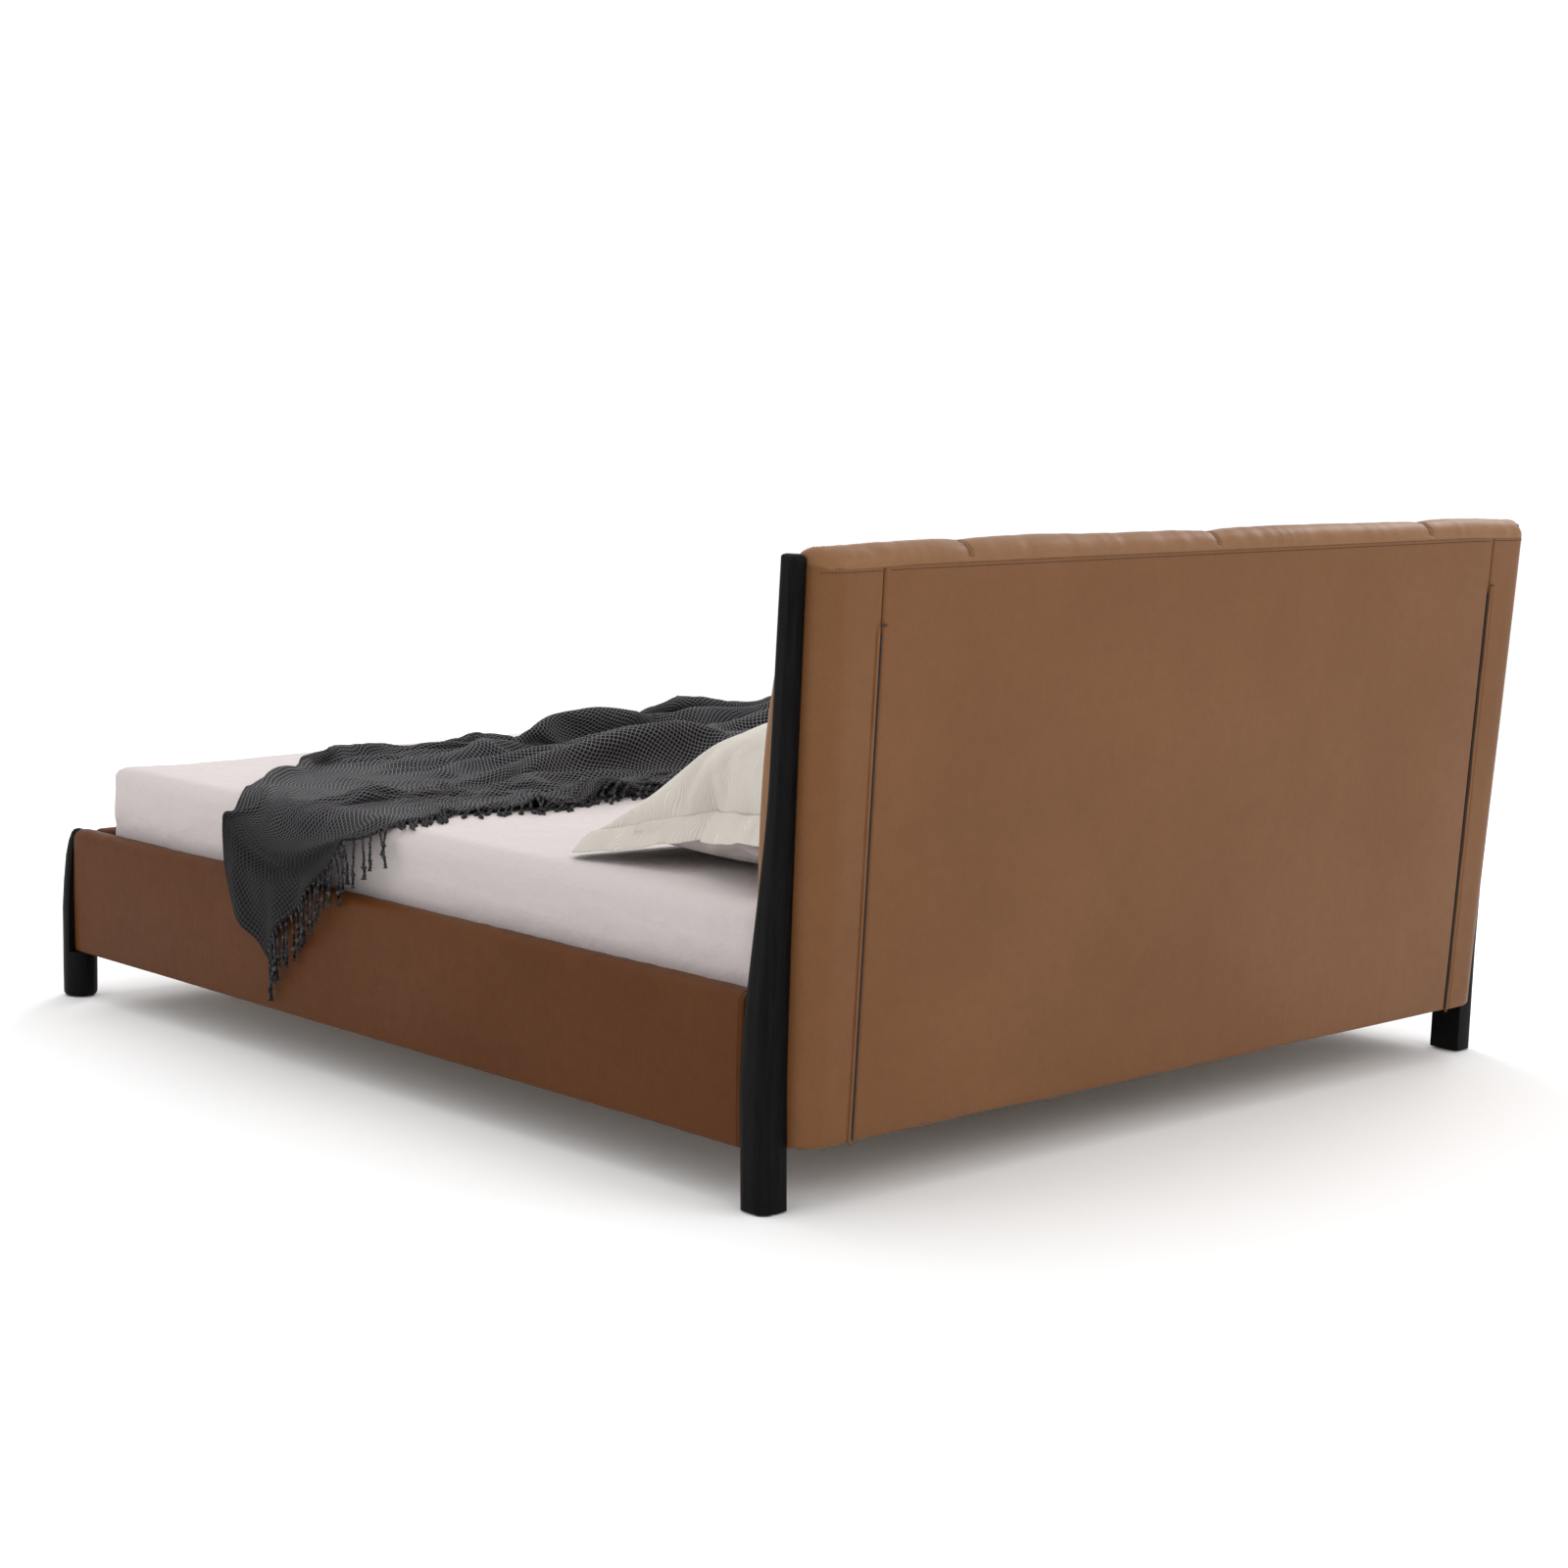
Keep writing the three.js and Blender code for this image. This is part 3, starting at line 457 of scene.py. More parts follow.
# layered board: thin veneers that show as stripes across its thickness
def plyBoard(name, across):
    wood = Finish(name)
    depth = wood.node("SeparateXYZ", None, {"Vector": wood.place()}, out="xyz".index(across))
    layer = (depth * 2250).sine()
    grain = wood.noise(wood.place(scale=(0.08, 1, 0.08)), 60, detail=5, distortion=0.5)
    tone = wood.blend(wood.spread(layer, -0.3, 0.3), (0.42, 0.27, 0.14), (0.56, 0.39, 0.22))
    grained = wood.blend(wood.spread(grain, 0.35, 0.7, 0, 0.5), tone, (0.34, 0.2, 0.1))
    normal = wood.relief(grain + layer * 0.2, 0.0003)
    return wood.finish(Base_Color=grained, Roughness=0.6 + grain * 0.2, Normal=normal)


def brushedMetal(name, dark, light, metallic, roughness):
    metal = Finish(name)
    streak = metal.noise(metal.place(scale=(1, 1, 0.04)), 700, detail=4)
    blotch = metal.noise(metal.place(), 30, detail=5)
    tone = metal.blend(streak * 0.6 + blotch * 0.4, dark, light)
    gloss = roughness + streak * 0.15 + blotch * 0.12
    normal = metal.relief(streak, 0.0001)
    return metal.finish(Base_Color=tone, Roughness=gloss, Metallic=metallic, Normal=normal)


def mouldedNylon():
    shell = Finish("moulded_nylon")
    speck = shell.noise(shell.place(), 1400, detail=4)
    rub = shell.noise(shell.place(), 60, detail=5)
    tone = shell.blend(shell.spread(rub, 0.4, 0.7), (0.012, 0.012, 0.013), (0.028, 0.027, 0.027))
    return shell.finish(Base_Color=tone, Roughness=0.5 + speck * 0.2, Normal=shell.relief(speck, 0.00012))


# plain woven cotton: crossing yarns, soft creases, faint slubs
def cotton(name, tone, shade, threads, crease, sheen):
    cloth = Finish(name)
    spot = cloth.place()
    parts = cloth.axes(spot, 3)
    yarn = (parts[0] * threads).sine() * ((parts[1] + parts[2]) * threads).sine()
    slub = cloth.noise(spot, 420, detail=4)
    fold = cloth.noise(spot, 9, detail=4, roughness=0.55, distortion=0.8)
    tired = cloth.spread(cloth.noise(spot, 26, detail=5, distortion=0.6), 0.4, 0.7)
    base = cloth.blend(cloth.spread(slub, 0.3, 0.75, 0, 0.3), tone, shade)
    shaded = cloth.blend(cloth.spread(yarn, -1, 1, 0.12, 0), base, scaled(shade, 0.7))
    height = yarn * 0.2 + slub * 0.25
    fine = cloth.relief(height, 0.0003)
    normal = cloth.relief(cloth.spread(fold, 0.3, 0.7) + tired * 0.5, crease, normal=fine)
    sockets = dict(Base_Color=shaded, Roughness=0.82 + slub * 0.12, Normal=normal)
    return cloth.finish(Sheen_Weight=sheen, Sheen_Roughness=0.5, **sockets)


pineTones = ((0.60, 0.42, 0.24), (0.43, 0.26, 0.12))
finishes = dict(
    # crown, back and rail are one leather; the crown carries painted top light and the rail carries painted
    # shade
    crown=leather("crown_hide", leatherPlan["crown"], 0.42, 0.28),
    back=leather("back_hide", leatherPlan["back"], 0.46, 0.22),
    rail=leather("rail_hide", leatherPlan["rail"], 0.46, 0.10),
    seam=thread("waxed_thread", (0.036, 0.015, 0.007)),
    post=ebonyWood(),
    pineAlongX=paleWood("pine_along_x", *pineTones, "x"),
    pineAlongY=paleWood("pine_along_y", *pineTones, "y"),
    pineAlongZ=paleWood("pine_along_z", *pineTones, "z"),
    beech=paleWood("beech_slats", (0.64, 0.46, 0.29), (0.52, 0.34, 0.19), "x"),
    plyAcrossX=plyBoard("ply_across_x", "x"),
    plyAcrossY=plyBoard("ply_across_y", "y"),
    steel=brushedMetal("black_painted_steel", (0.012, 0.012, 0.013), (0.03, 0.03, 0.032), 0.35, 0.38),
    zinc=brushedMetal("zinc_plated_steel", (0.34, 0.36, 0.38), (0.62, 0.63, 0.62), 1.0, 0.24),
    nylon=mouldedNylon(),
    tape=cotton("zip_tape", (0.014, 0.011, 0.010), (0.008, 0.007, 0.006), 3600, 0.0002, 0.0),
    ticking=cotton("mattress_ticking", (0.74, 0.72, 0.68), (0.62, 0.60, 0.56), 2400, 0.0012, 0.15),
    percale=cotton("white_percale", (0.545, 0.490, 0.482), (0.455, 0.405, 0.400), 5200, 0.0016, 0.05),
)
nodeFinishes = dict(
    pineAlongX=["headboard_frame_top_rail", "headboard_frame_bottom_rail",
                "corner_block_left", "corner_block_right"],
    pineAlongY=["slat_ledger_left", "slat_ledger_right", "centre_beam"],
    pineAlongZ=["headboard_frame_stile_left", "headboard_frame_stile_right",
                "centre_leg_1", "centre_leg_2"],
    beech=[f"slat_{i:02d}" for i in range(1, 14)],
    plyAcrossX=["side_rail_core_left", "side_rail_core_right"],
    plyAcrossY=["headboard_panel", "foot_rail_core"],
    steel=["beam_hanger_head", "beam_hanger_foot"],
    zinc=["rail_hook_plate_left", "rail_hook_plate_right"],
    nylon=["glide_rear_left", "glide_rear_right", "glide_foot_left", "glide_foot_right",
           "levelling_foot_1", "levelling_foot_2"],
    ticking=["mattress"],
)
for finishName, members in nodeFinishes.items():
    for member in members:
        for holder in nodes[member].material_slots:
            holder.material = finishes[finishName]
print("finishes made")


def setPiece(piece, body, slot, *replaced):
    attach(piece, body)
    if replaced:
        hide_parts(*replaced)
    return piece


sides = dict(left=-1, right=1)


rearPostPlan = dict(
    widthFoot=0.054,
    widthTop=0.029,
    depthFoot=0.066,
    depthTop=0.036,
    round=0.022,
    dome=0.014,
    edge=0.0022,
    heights=90,
    domeSteps=9,
    domeCurve=0.8,
    taperFrom=0.2,
    taperTo=0.72,
    taperShare=0.72,
    bendShare=0.28,
    cornerShare=0.42,
    chamfer=0.0012,
    chamferRise=0.0015,
)


# a bent post: flat towards the headboard, rounded outwards, domed on top
def rearPost(name, side):
    plan = rearPostPlan
    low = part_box(f"rear_post_{name}")[0].z
    top = headPlan["postHeight"]
    innerX = headPlan["halfWidth"] + 0.001
    body = np.linspace(low, top - plan["dome"], plan["heights"])
    dome = top - plan["dome"] * (1 - np.sin(np.linspace(0, math.pi / 2, plan["domeSteps"])))[1:]
    rings = []
    for z in np.concatenate([[low], body[:1] + plan["chamferRise"], body[1:], dome]):
        taper = float(smooth(plan["taperFrom"], plan["taperTo"], z))
        share = plan["taperShare"] * taper + plan["bendShare"] * float(bendAt(z))
        above = max(0.0, z - (top - plan["dome"])) / plan["dome"]
        pull = plan["dome"] * plan["domeCurve"] * (1 - math.sqrt(max(0.0, 1 - min(1, above) ** 2)))
        pull += plan["chamfer"] if z <= low + 0.0001 else 0
        width = plan["widthFoot"] + (plan["widthTop"] - plan["widthFoot"]) * share
        depth = plan["depthFoot"] + (plan["depthTop"] - plan["depthFoot"]) * share
        radius = min(plan["round"], plan["cornerShare"] * min(width, depth))
        e = plan["edge"]
        back = backPlane + float(leanAt(z))
        x0 = innerX + float(splayAt(z))
        outline = arcPoints((e, -e), e, 180, 90, 5)
        outline += arcPoints((width - radius, -radius), radius, 90, 0, 12)
        outline += arcPoints((width - radius, radius - depth), radius, 0, -90, 12)
        outline += arcPoints((e, e - depth), e, -90, -180, 5)
        ring = []
        for a, b in outline:
            a = min(max(a, pull), width - pull)
            b = max(min(b, -pull), pull - depth)
            ring.append((side * (x0 + a), back + b, z))
        rings.append(ring)
    post = loftPiece(f"rear_post_wood_{name}", rings)
    sharpen(post, 50)
    paint(post, finishes["post"])
    return setPiece(post, "bed_frame", "ebony_wood", f"rear_post_{name}")


footPostPlan = dict(
    radius=0.035,
    topRadius=0.015,
    shaft=[(0, 0.004), (0.004, 0.0012), (0.010, 0.0005), (0.05, 0), (0.184, 0),
           (0.239, 0.003), (0.295, 0.008), (0.325, 0.014)],  # height, then what the radius loses
    tip=[(0.342, 0), (0.348, 0.005), (0.3502, 0.012)],
    levels=70,
    segments=72,
    railGap=0.0003,
    cutStep=0.0002,
)


# turned foot post, cut flat where the rails stand against it
def footPost(name, side):
    plan = footPostPlan
    low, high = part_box(f"foot_post_{name}")
    glideLow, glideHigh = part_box(f"glide_foot_{name}")
    centre = (glideLow + glideHigh) / 2
    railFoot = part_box("foot_rail_cover")[0]
    cutY, cutZ = railFoot.y - plan["railGap"], railFoot.z - plan["railGap"]
    shape = [(rise, plan["radius"] - loss) for rise, loss in plan["shaft"]]
    shape += [(rise, plan["topRadius"] - loss) for rise, loss in plan["tip"]]
    heights = np.array([low.z + rise for rise, _ in shape])
    heights[-1] = high.z
    radii = np.array([radius for _, radius in shape])
    even = np.linspace(low.z, high.z, plan["levels"])
    levels = np.unique(np.concatenate([heights, even, [cutZ, cutZ + plan["cutStep"]]]))
    angles = np.linspace(0, 2 * math.pi, plan["segments"], endpoint=False)
    rings = []
    for z in levels:
        radius = float(np.interp(z, heights, radii))
        x = centre.x + radius * np.cos(angles)
        y = centre.y + radius * np.sin(angles)
        if z > cutZ + plan["cutStep"] / 2:
            y = np.minimum(y, cutY)
        rings.append(np.stack([x, y, np.full(len(x), z)], axis=1))
    post = loftPiece(f"foot_post_wood_{name}", rings)
    sharpen(post, 40)
    paint(post, finishes["post"])
    return setPiece(post, "bed_frame", "ebony_wood", f"foot_post_{name}")


for sideName, sideSign in sides.items():
    rearPost(sideName, sideSign)
    footPost(sideName, sideSign)
print("posts made")


railPlan = dict(
    roundTop=0.020,
    roundBottom=0.008,
    belly=0.0035,
    wave=0.0011,
    step=0.010,
    endRound=0.006,
    seamFromEnd=0.009,
    seamDepth=0.0022,
    seamHalf=0.0013,
    endSteps=(0, 0.0004, 0.0012, 0.0025, 0.0042),
    seamSteps=(-0.003, -0.0018, -0.0008, 0, 0.0008, 0.0018, 0.003),
    pucker=0.0008,
    puckerReach=0.05,
    topWrinkle=0.0009,
    endGap=0.0004,
)


# section of a rail: u runs from the inner face to the outer face, v is height
def railSection(thickness, low, high, plan):
    top, foot = plan["roundTop"], plan["roundBottom"]
    points = []
    for v in np.linspace(low + foot, high - top, 26):
        points.append((thickness, v))
    points += arcPoints((thickness - top, high - top), top, 0, 90, 9)[1:]
    points += [(thickness / 2, high + 0.0004)]
    points += arcPoints((top, high - top), top, 90, 180, 9)[:-1]
    for v in np.linspace(high - top, low + foot, 26):
        points.append((0, v))
    points += arcPoints((foot, low + foot), foot, 180, 270, 6)[1:]
    points += [(thickness * t, low) for t in (0.3, 0.5, 0.7)]
    points += arcPoints((thickness - foot, low + foot), foot, -90, 0, 6)[:-1]
    return np.array(points)


# padded rail wrapped in hide: swollen faces, slow waves, a tucked fold at each end
def wrappedRail(name, node, along, outward, start, end, seed, seams):
    plan = railPlan
    low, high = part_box(node)
    axis, cross = ("xyz".index(along), 1 - "xyz".index(along))
    inner = (low if outward > 0 else high)[cross]
    thickness = high[cross] - low[cross]
    section = railSection(thickness, low.z, high.z, plan)
    middle = section.mean(0)
    stations = [start + s for s in plan["endSteps"]]
    stations += list(np.arange(start + plan["endRound"], end - plan["endRound"], plan["step"]))
    stations += [end - s for s in plan["endSteps"]]
    for seam in seams:
        stations += [seam + s for s in plan["seamSteps"]]
    rings = []
    for s in sorted(stations):
        edge = max(0.0, 1 - min(s - start, end - s) / plan["endRound"])
        tuck = plan["endRound"] * 0.7 * (1 - math.sqrt(max(0.0, 1 - edge ** 2)))
        u, v = section[:, 0], section[:, 1]
        rise = (v - low.z) / (high.z - low.z)
        face = np.where(u > thickness * 0.75, 1.0, np.where(u < thickness * 0.25, -1.0, 0.0))
        swell = plan["belly"] * np.sin(np.clip(rise, 0, 1) * math.pi) ** 0.7 * (face > 0)
        wave = plan["wave"] * softNoise(s * 5.5, v * 9, u * 4, seed)
        nearEnd = np.exp(-min(s - start, end - s) / plan["puckerReach"])
        pucker = plan["pucker"] * softNoise(s * 60, v * 14, u * 8, seed + 3) * nearEnd
        top = plan["topWrinkle"] * softNoise(s * 34, v * 5, u * 20, seed + 5) * smooth(0.86, 1.0, rise)
        groove = sum(plan["seamDepth"] * math.exp(-((s - seam) / plan["seamHalf"]) ** 2) for seam in seams)
        shift = swell * (1 - edge) + (wave + pucker + top) * (1 - edge) - groove - tuck
        away = section - middle
        away = away / np.linalg.norm(away, axis=1)[:, None]
        straight = np.stack([np.sign(face) * (np.abs(face) > 0), np.zeros(len(face))], axis=1)
        normal = np.where(np.abs(face)[:, None] > 0, straight * 0.75 + away * 0.25, away)
        moved = section + normal * shift[:, None]
        ring = np.zeros((len(section), 3))
        ring[:, axis] = s
        ring[:, cross] = inner + outward * moved[:, 0]
        ring[:, 2] = moved[:, 1]
        rings.append(ring)
    rail = loftPiece(name, rings)
    sharpen(rail, 60)
    paint(rail, finishes["rail"])
    return setPiece(rail, "bed_frame", "rail_leather", node)


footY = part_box("foot_rail_cover")[0].y
for seedStep, (sideName, sideSign) in enumerate(sides.items()):
    cover = f"side_rail_cover_{sideName}"
    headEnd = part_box(cover)[1].y
    wrappedRail(f"side_rail_hide_{sideName}", cover, "y", sideSign, footY - 0.0002,
                headEnd - railPlan["endGap"], 11 + seedStep, [headEnd - railPlan["seamFromEnd"]])
wrappedRail("foot_rail_hide", "foot_rail_cover", "x", -1, -railLow.x + railPlan["endGap"],
            railLow.x - railPlan["endGap"], 17, [])
print("rails wrapped")


headPadPlan = dict(
    seams=(-0.6045, 0.0, 0.6045),
    seamDepth=0.0024,
    channelPuff=0.0034,
    stepAcross=0.0085,
    stepUp=0.0095,
    edgeRound=0.020,
    creaseDepth=0.0024,
    seamSteps=(-0.005, -0.0035, -0.0022, -0.0012, 0, 0.0012, 0.0022, 0.0035, 0.005),
    endSteps=(0, 0.0006, 0.0018, 0.0036, 0.006, 0.0095, 0.014, 0.020),
    seamClear=0.006,
    slowWave=0.0022,
    cornerDip=0.004,
    skin=0.0155,  # from the back's outside to the pad's hidden side
)


# side view of the front pad: up the front, over the crown, down inside the back
def headPadProfile(plan):
    z0, zs = headPlan["clearance"], headPlan["seamHeight"]
    count = int((zs - 0.006 - z0) / plan["stepUp"])
    front = [(float(headFrontAt(z)), z) for z in np.linspace(z0 + 0.012, zs - 0.006, count)]
    yf = float(headFrontAt(zs - 0.006))
    yb = float(headBackAt(zs))
    yt = yf + headPlan["crownPeak"] * (yb - yf)
    zt = zs + headPlan["crownRise"]
    rise = [(yt - (yt - yf) * math.cos(a), zs - 0.006 + (zt - zs + 0.006) * math.sin(a))
            for a in np.linspace(0, math.pi / 2, 9)[1:]]
    fall = [(yt + (yb - yt) * math.sin(a), zs - 0.001 + (zt - zs + 0.001) * math.cos(a))
            for a in np.linspace(0, math.pi / 2, 11)[1:]]
    outer = front + rise + fall
    inside = [(yb - 0.003, zs - 0.004), (float(headBackAt(zs)) - plan["skin"], zs - 0.0045)]
    for z in np.linspace(zs - 0.03, headPlan["frameTop"] + 0.001, 4):
        inside.append((float(headBackAt(z)) - plan["skin"], z))
    panel = [(float(headBackAt(z)) - headPlan["padThickness"] - headPlan["frameDepth"] - 0.0012, z)
             for z in (headPlan["frameTop"] + 0.0006, 0.8, 0.6, 0.4, 0.25, z0 + 0.003)]
    base = [(panel[-1][0] - 0.004, z0), (float(headFrontAt(z0)) + 0.014, z0),
            (float(headFrontAt(z0)) + 0.004, z0 + 0.004)]
    return np.array(outer), np.array(inside + panel + base)


def headPadPiece():
    plan = headPadPlan
    outer, hidden = headPadProfile(plan)
    profile = np.vstack([outer, hidden])
    count = len(outer)
    run = pathRun(outer)
    length = run[-1]
    toward = np.gradient(outer, axis=0)
    toward /= np.linalg.norm(toward, axis=1)[:, None]
    normal = np.zeros_like(profile)
    normal[:count, 0], normal[:count, 1] = -toward[:, 1], toward[:, 0]
    half = headPlan["halfWidth"]
    spots = list(np.arange(-half + 0.03, half - 0.029, plan["stepAcross"]))
    spots = [s for s in spots if min(abs(s - seam) for seam in plan["seams"]) > plan["seamClear"]]
    for seam in plan["seams"]:
        spots += [seam + d for d in plan["seamSteps"]]
    spots += [half - d for d in plan["endSteps"]] + [d - half for d in plan["endSteps"]]
    marks = [-half, *plan["seams"], half]
    slant = math.pi / 4
    rings = []
    for x in sorted(spots):
        fromSide = half - abs(x)
        share = min(1.0, fromSide / plan["edgeRound"])
        tuck = plan["edgeRound"] * 0.8 * (1 - math.sqrt(1 - (1 - share) ** 2))
        lowMark = max(m for m in marks if m <= x + 1e-9) if x < half else marks[-2]
        highMark = min(m for m in marks if m > lowMark)
        t = (x - lowMark) / (highMark - lowMark)
        puff = 1 - abs(2 * t - 1) ** 7
        nearest = min(abs(x - seam) for seam in plan["seams"])
        groove = plan["seamDepth"] * (0.6 * math.exp(-nearest / 0.005) + math.exp(-((nearest / 0.0020) ** 2)))
        atFoot = smooth(0, 0.06, run)
        pucker = creaseNoise(x * 7, run * 38, 0, 21, 2.2) * math.exp(-nearest / 0.07)
        pucker = pucker + 0.5 * creaseNoise(x * 11, run * 75, 4, 22, 2.0) * math.exp(-nearest / 0.03)
        toSeam = length - run
        gather = creaseNoise(x * 42, run * 9, 1, 23, 2.4) * np.exp(-toSeam / 0.045)
        diagonal = creaseNoise((x * math.cos(slant) + run * 0.9) * 26, (run - x * 0.6) * 5, 2, 24, 2.6)
        diagonal = diagonal * math.exp(-fromSide / 0.12) * smooth(0.55, 1.0, run / length)
        slow = plan["slowWave"] * softNoise(x * 4.5, run * 6, 0, 25)
        shift = plan["channelPuff"] * puff * atFoot - groove * atFoot + slow
        shift = shift + plan["creaseDepth"] * (pucker * 1.1 + gather * 1.5 + diagonal * 2.2)
        seamHold = smooth(0, 0.012, toSeam)
        shift = shift * seamHold * min(1.0, fromSide / 0.012) - tuck
        y = profile[:, 0].copy()
        z = profile[:, 1].copy()
        y[:count] += normal[:count, 0] * shift
        z[:count] += normal[:count, 1] * shift
        # the back of the crown comes forward to meet the post
        depth = float(headBackAt(headPlan["seamHeight"])) - float(headFrontAt(headPlan["seamHeight"] - 0.006))
        edge = min(1.0, fromSide / headPlan["shoulder"])
        seamZ = headPlan["seamHeight"]
        pull = float(headBackAt(seamZ)) - headPlan["shoulderStep"] - float(sideEdgeAt(seamZ))
        pull = pull * (1 - math.sqrt(1 - (1 - edge) ** 2)) + headPlan["shoulderStep"] * (1 - edge)
        back = np.clip((profile[:, 0] - float(headFrontAt(seamZ - 0.006))) / depth, 0, 1)
        y -= np.where(profile[:, 1] > headPlan["frameTop"] + 0.0008, back * pull, 0)
        # seam edge dips a little at the ends
        dip = plan["cornerDip"] * back * smooth(0.75, 1.0, abs(x) / half)
        z -= np.where(profile[:, 1] > seamZ - 0.006, dip, 0)
        # room for the ends of the side rails
        room = smooth(railHigh.z + 0.012, railHigh.z + 0.002, z) * (abs(x) > railLow.x - 0.0006)
        y = np.maximum(y, np.where(room > 0, y + (railHigh.y + 0.001 - y) * room, y))
        wide = x / half * (half + splayAt(profile[:, 1]))
        rings.append(np.stack([wide, y, z], axis=1))
    pad = loftPiece("headboard_front_pad_hide", rings)
    sharpen(pad, 70)
    paint(pad, finishes["crown"])
    return setPiece(pad, "bed_frame", "crown_leather", "headboard_front_pad")


headPadPiece()
print("headboard front made")


backPlan = dict(
    step=0.011,
    belly=0.0045,
    wave=0.0012,
    edgeRound=0.006,
    flapWidth=0.0112,
)


# a pad seen from the back: a grid over its back face, rounded over to a flat front
def backPadShape(name, edgesAt, backAt, frontAt, columns, seed, groove=0.0):
    plan = backPlan
    zLow, zHigh = headPlan["clearance"], headPlan["seamHeight"] - 0.0006
    rows = int((zHigh - zLow) / plan["step"])
    heights = list(np.linspace(zLow + 0.006, zHigh - 0.006, rows))
    heights = [zLow, zLow + 0.0006, zLow + 0.002, zLow + 0.0038] + heights
    heights += [zHigh - 0.0038, zHigh - 0.002, zHigh - 0.0006, zHigh]
    rings = []
    for z in heights:
        x0, x1 = edgesAt(z)
        ends = np.array([0, 0.0005, 0.0016, 0.0034, 0.006])
        xs = np.concatenate([x0 + ends, np.linspace(x0 + 0.009, x1 - 0.009, columns), x1 - ends[::-1]])
        backY = backAt(xs, z)
        frontY = frontAt(xs, z)
        fromEdge = np.minimum(xs - x0, x1 - xs)
        fromEnd = min(z - zLow, zHigh - z)
        r = plan["edgeRound"]
        sideCut = r * (1 - np.sqrt(1 - (1 - np.clip(fromEdge / r, 0, 1)) ** 2))
        endCut = r * (1 - math.sqrt(1 - (1 - min(1, fromEnd / r)) ** 2))
        rise = (z - zLow) / (zHigh - zLow)
        span = np.clip(fromEdge / 0.16, 0, 1)
        belly = plan["belly"] * (1 - (1 - span) ** 2.5)
        belly = belly * math.sin(math.pi * min(1, rise * 0.97 + 0.02)) ** 0.5
        wave = plan["wave"] * softNoise(xs * 3.2, z * 4.1, 0, seed) * np.clip(fromEdge / 0.03, 0, 1)
        drag = 0.0009 * creaseNoise(xs * 16, z * 3, 0, seed + 1, 2.0) * math.exp(-(zHigh - z) / 0.05)
        ripple = 0.0011 * creaseNoise(xs * 13, z * 5, 3, seed + 2, 2.0) * math.exp(-(z - zLow) / 0.035)
        hold = min(1, fromEnd / 0.01)
        y = backY + (belly + wave + drag + ripple) * hold - np.maximum(sideCut, endCut)
        fromSlit = np.abs(np.abs(xs) - headPlan["slit"] - float(splayAt(z)) * headPlan["slitSplay"])
        y -= groove * np.exp(-((fromSlit - plan["flapWidth"]) / 0.0016) ** 2) * (z < 0.944)
        sag = 0.0022 * softNoise(xs * 6, 2, 0, seed + 4) * math.exp(-(z - zLow) / 0.03)
        backRow = np.stack([xs, y, z + sag], axis=1)
        frontRow = np.stack([xs[::-1], frontY[::-1], np.full(len(xs), z)], axis=1)[::12]
        rings.append(np.vstack([backRow, [[x1, frontY[-1], z]], frontRow[1:-1], [[x0, frontY[0], z]]]))
    return loftPiece(name, rings)


def backPads():
    thick = headPlan["padThickness"]

    # the slit is open for the zip, and sewn shut above it
    def halfSlit(z):
        return 0.0025 - 0.0021 * float(smooth(0.938, 0.946, z))

    def middleEdges(z):
        edge = headPlan["slit"] - halfSlit(z) + float(splayAt(z)) * headPlan["slitSplay"]
        return -edge, edge

    def flatBack(xs, z):
        return np.full(len(xs), float(headBackAt(z)))

    def flatFront(xs, z):
        return np.full(len(xs), float(headBackAt(z)) - thick + 0.0002)

    middle = backPadShape("headboard_back_hide", middleEdges, flatBack, flatFront, 140, 31)
    paint(middle, finishes["back"])
    setPiece(middle, "bed_frame", "back_leather", "headboard_back_pad")
    for name, side in sides.items():

        def sideEdges(z):
            inner = headPlan["slit"] + halfSlit(z) + float(splayAt(z)) * headPlan["slitSplay"]
            outer = float(headHalfAt(z))
            return (inner, outer) if side > 0 else (-outer, -inner)

        def roundedBack(xs, z):
            away = np.clip(1 - (float(headHalfAt(z)) - np.abs(xs)) / headPlan["shoulder"], 0, 1)
            fall = float(headBackAt(z)) - headPlan["shoulderStep"] - float(sideEdgeAt(z))
            curve = fall * (1 - np.sqrt(np.clip(1 - away ** 2, 0, 1)))
            curve = curve + headPlan["shoulderStep"] * smooth(0, 1, away)
            return float(headBackAt(z)) - curve

        def stepFront(xs, z):
            front = np.full(len(xs), float(headBackAt(z)) - thick + 0.0002)
            return np.where(np.abs(xs) > headPlan["halfWidth"] - 0.0497, front - 0.040, front)

        pad = backPadShape(f"headboard_side_hide_{name}", sideEdges, roundedBack, stepFront, 46, 37 + side,
                           groove=0.0022)
        paint(pad, finishes["back"])
        setPiece(pad, "bed_frame", "back_leather", f"headboard_side_pad_{name}")


backPads()
print("headboard back made")


sheetPlan = dict(
    flat=(2.30, 2.50),  # cut size before the corners are sewn
    step=0.0125,
    edgeRound=0.036,
    edgeFall=0.030,
    sideCrease=0.0022,
    gather=0.0052,
    ear=0.010,
    thickness=0.0009,
)


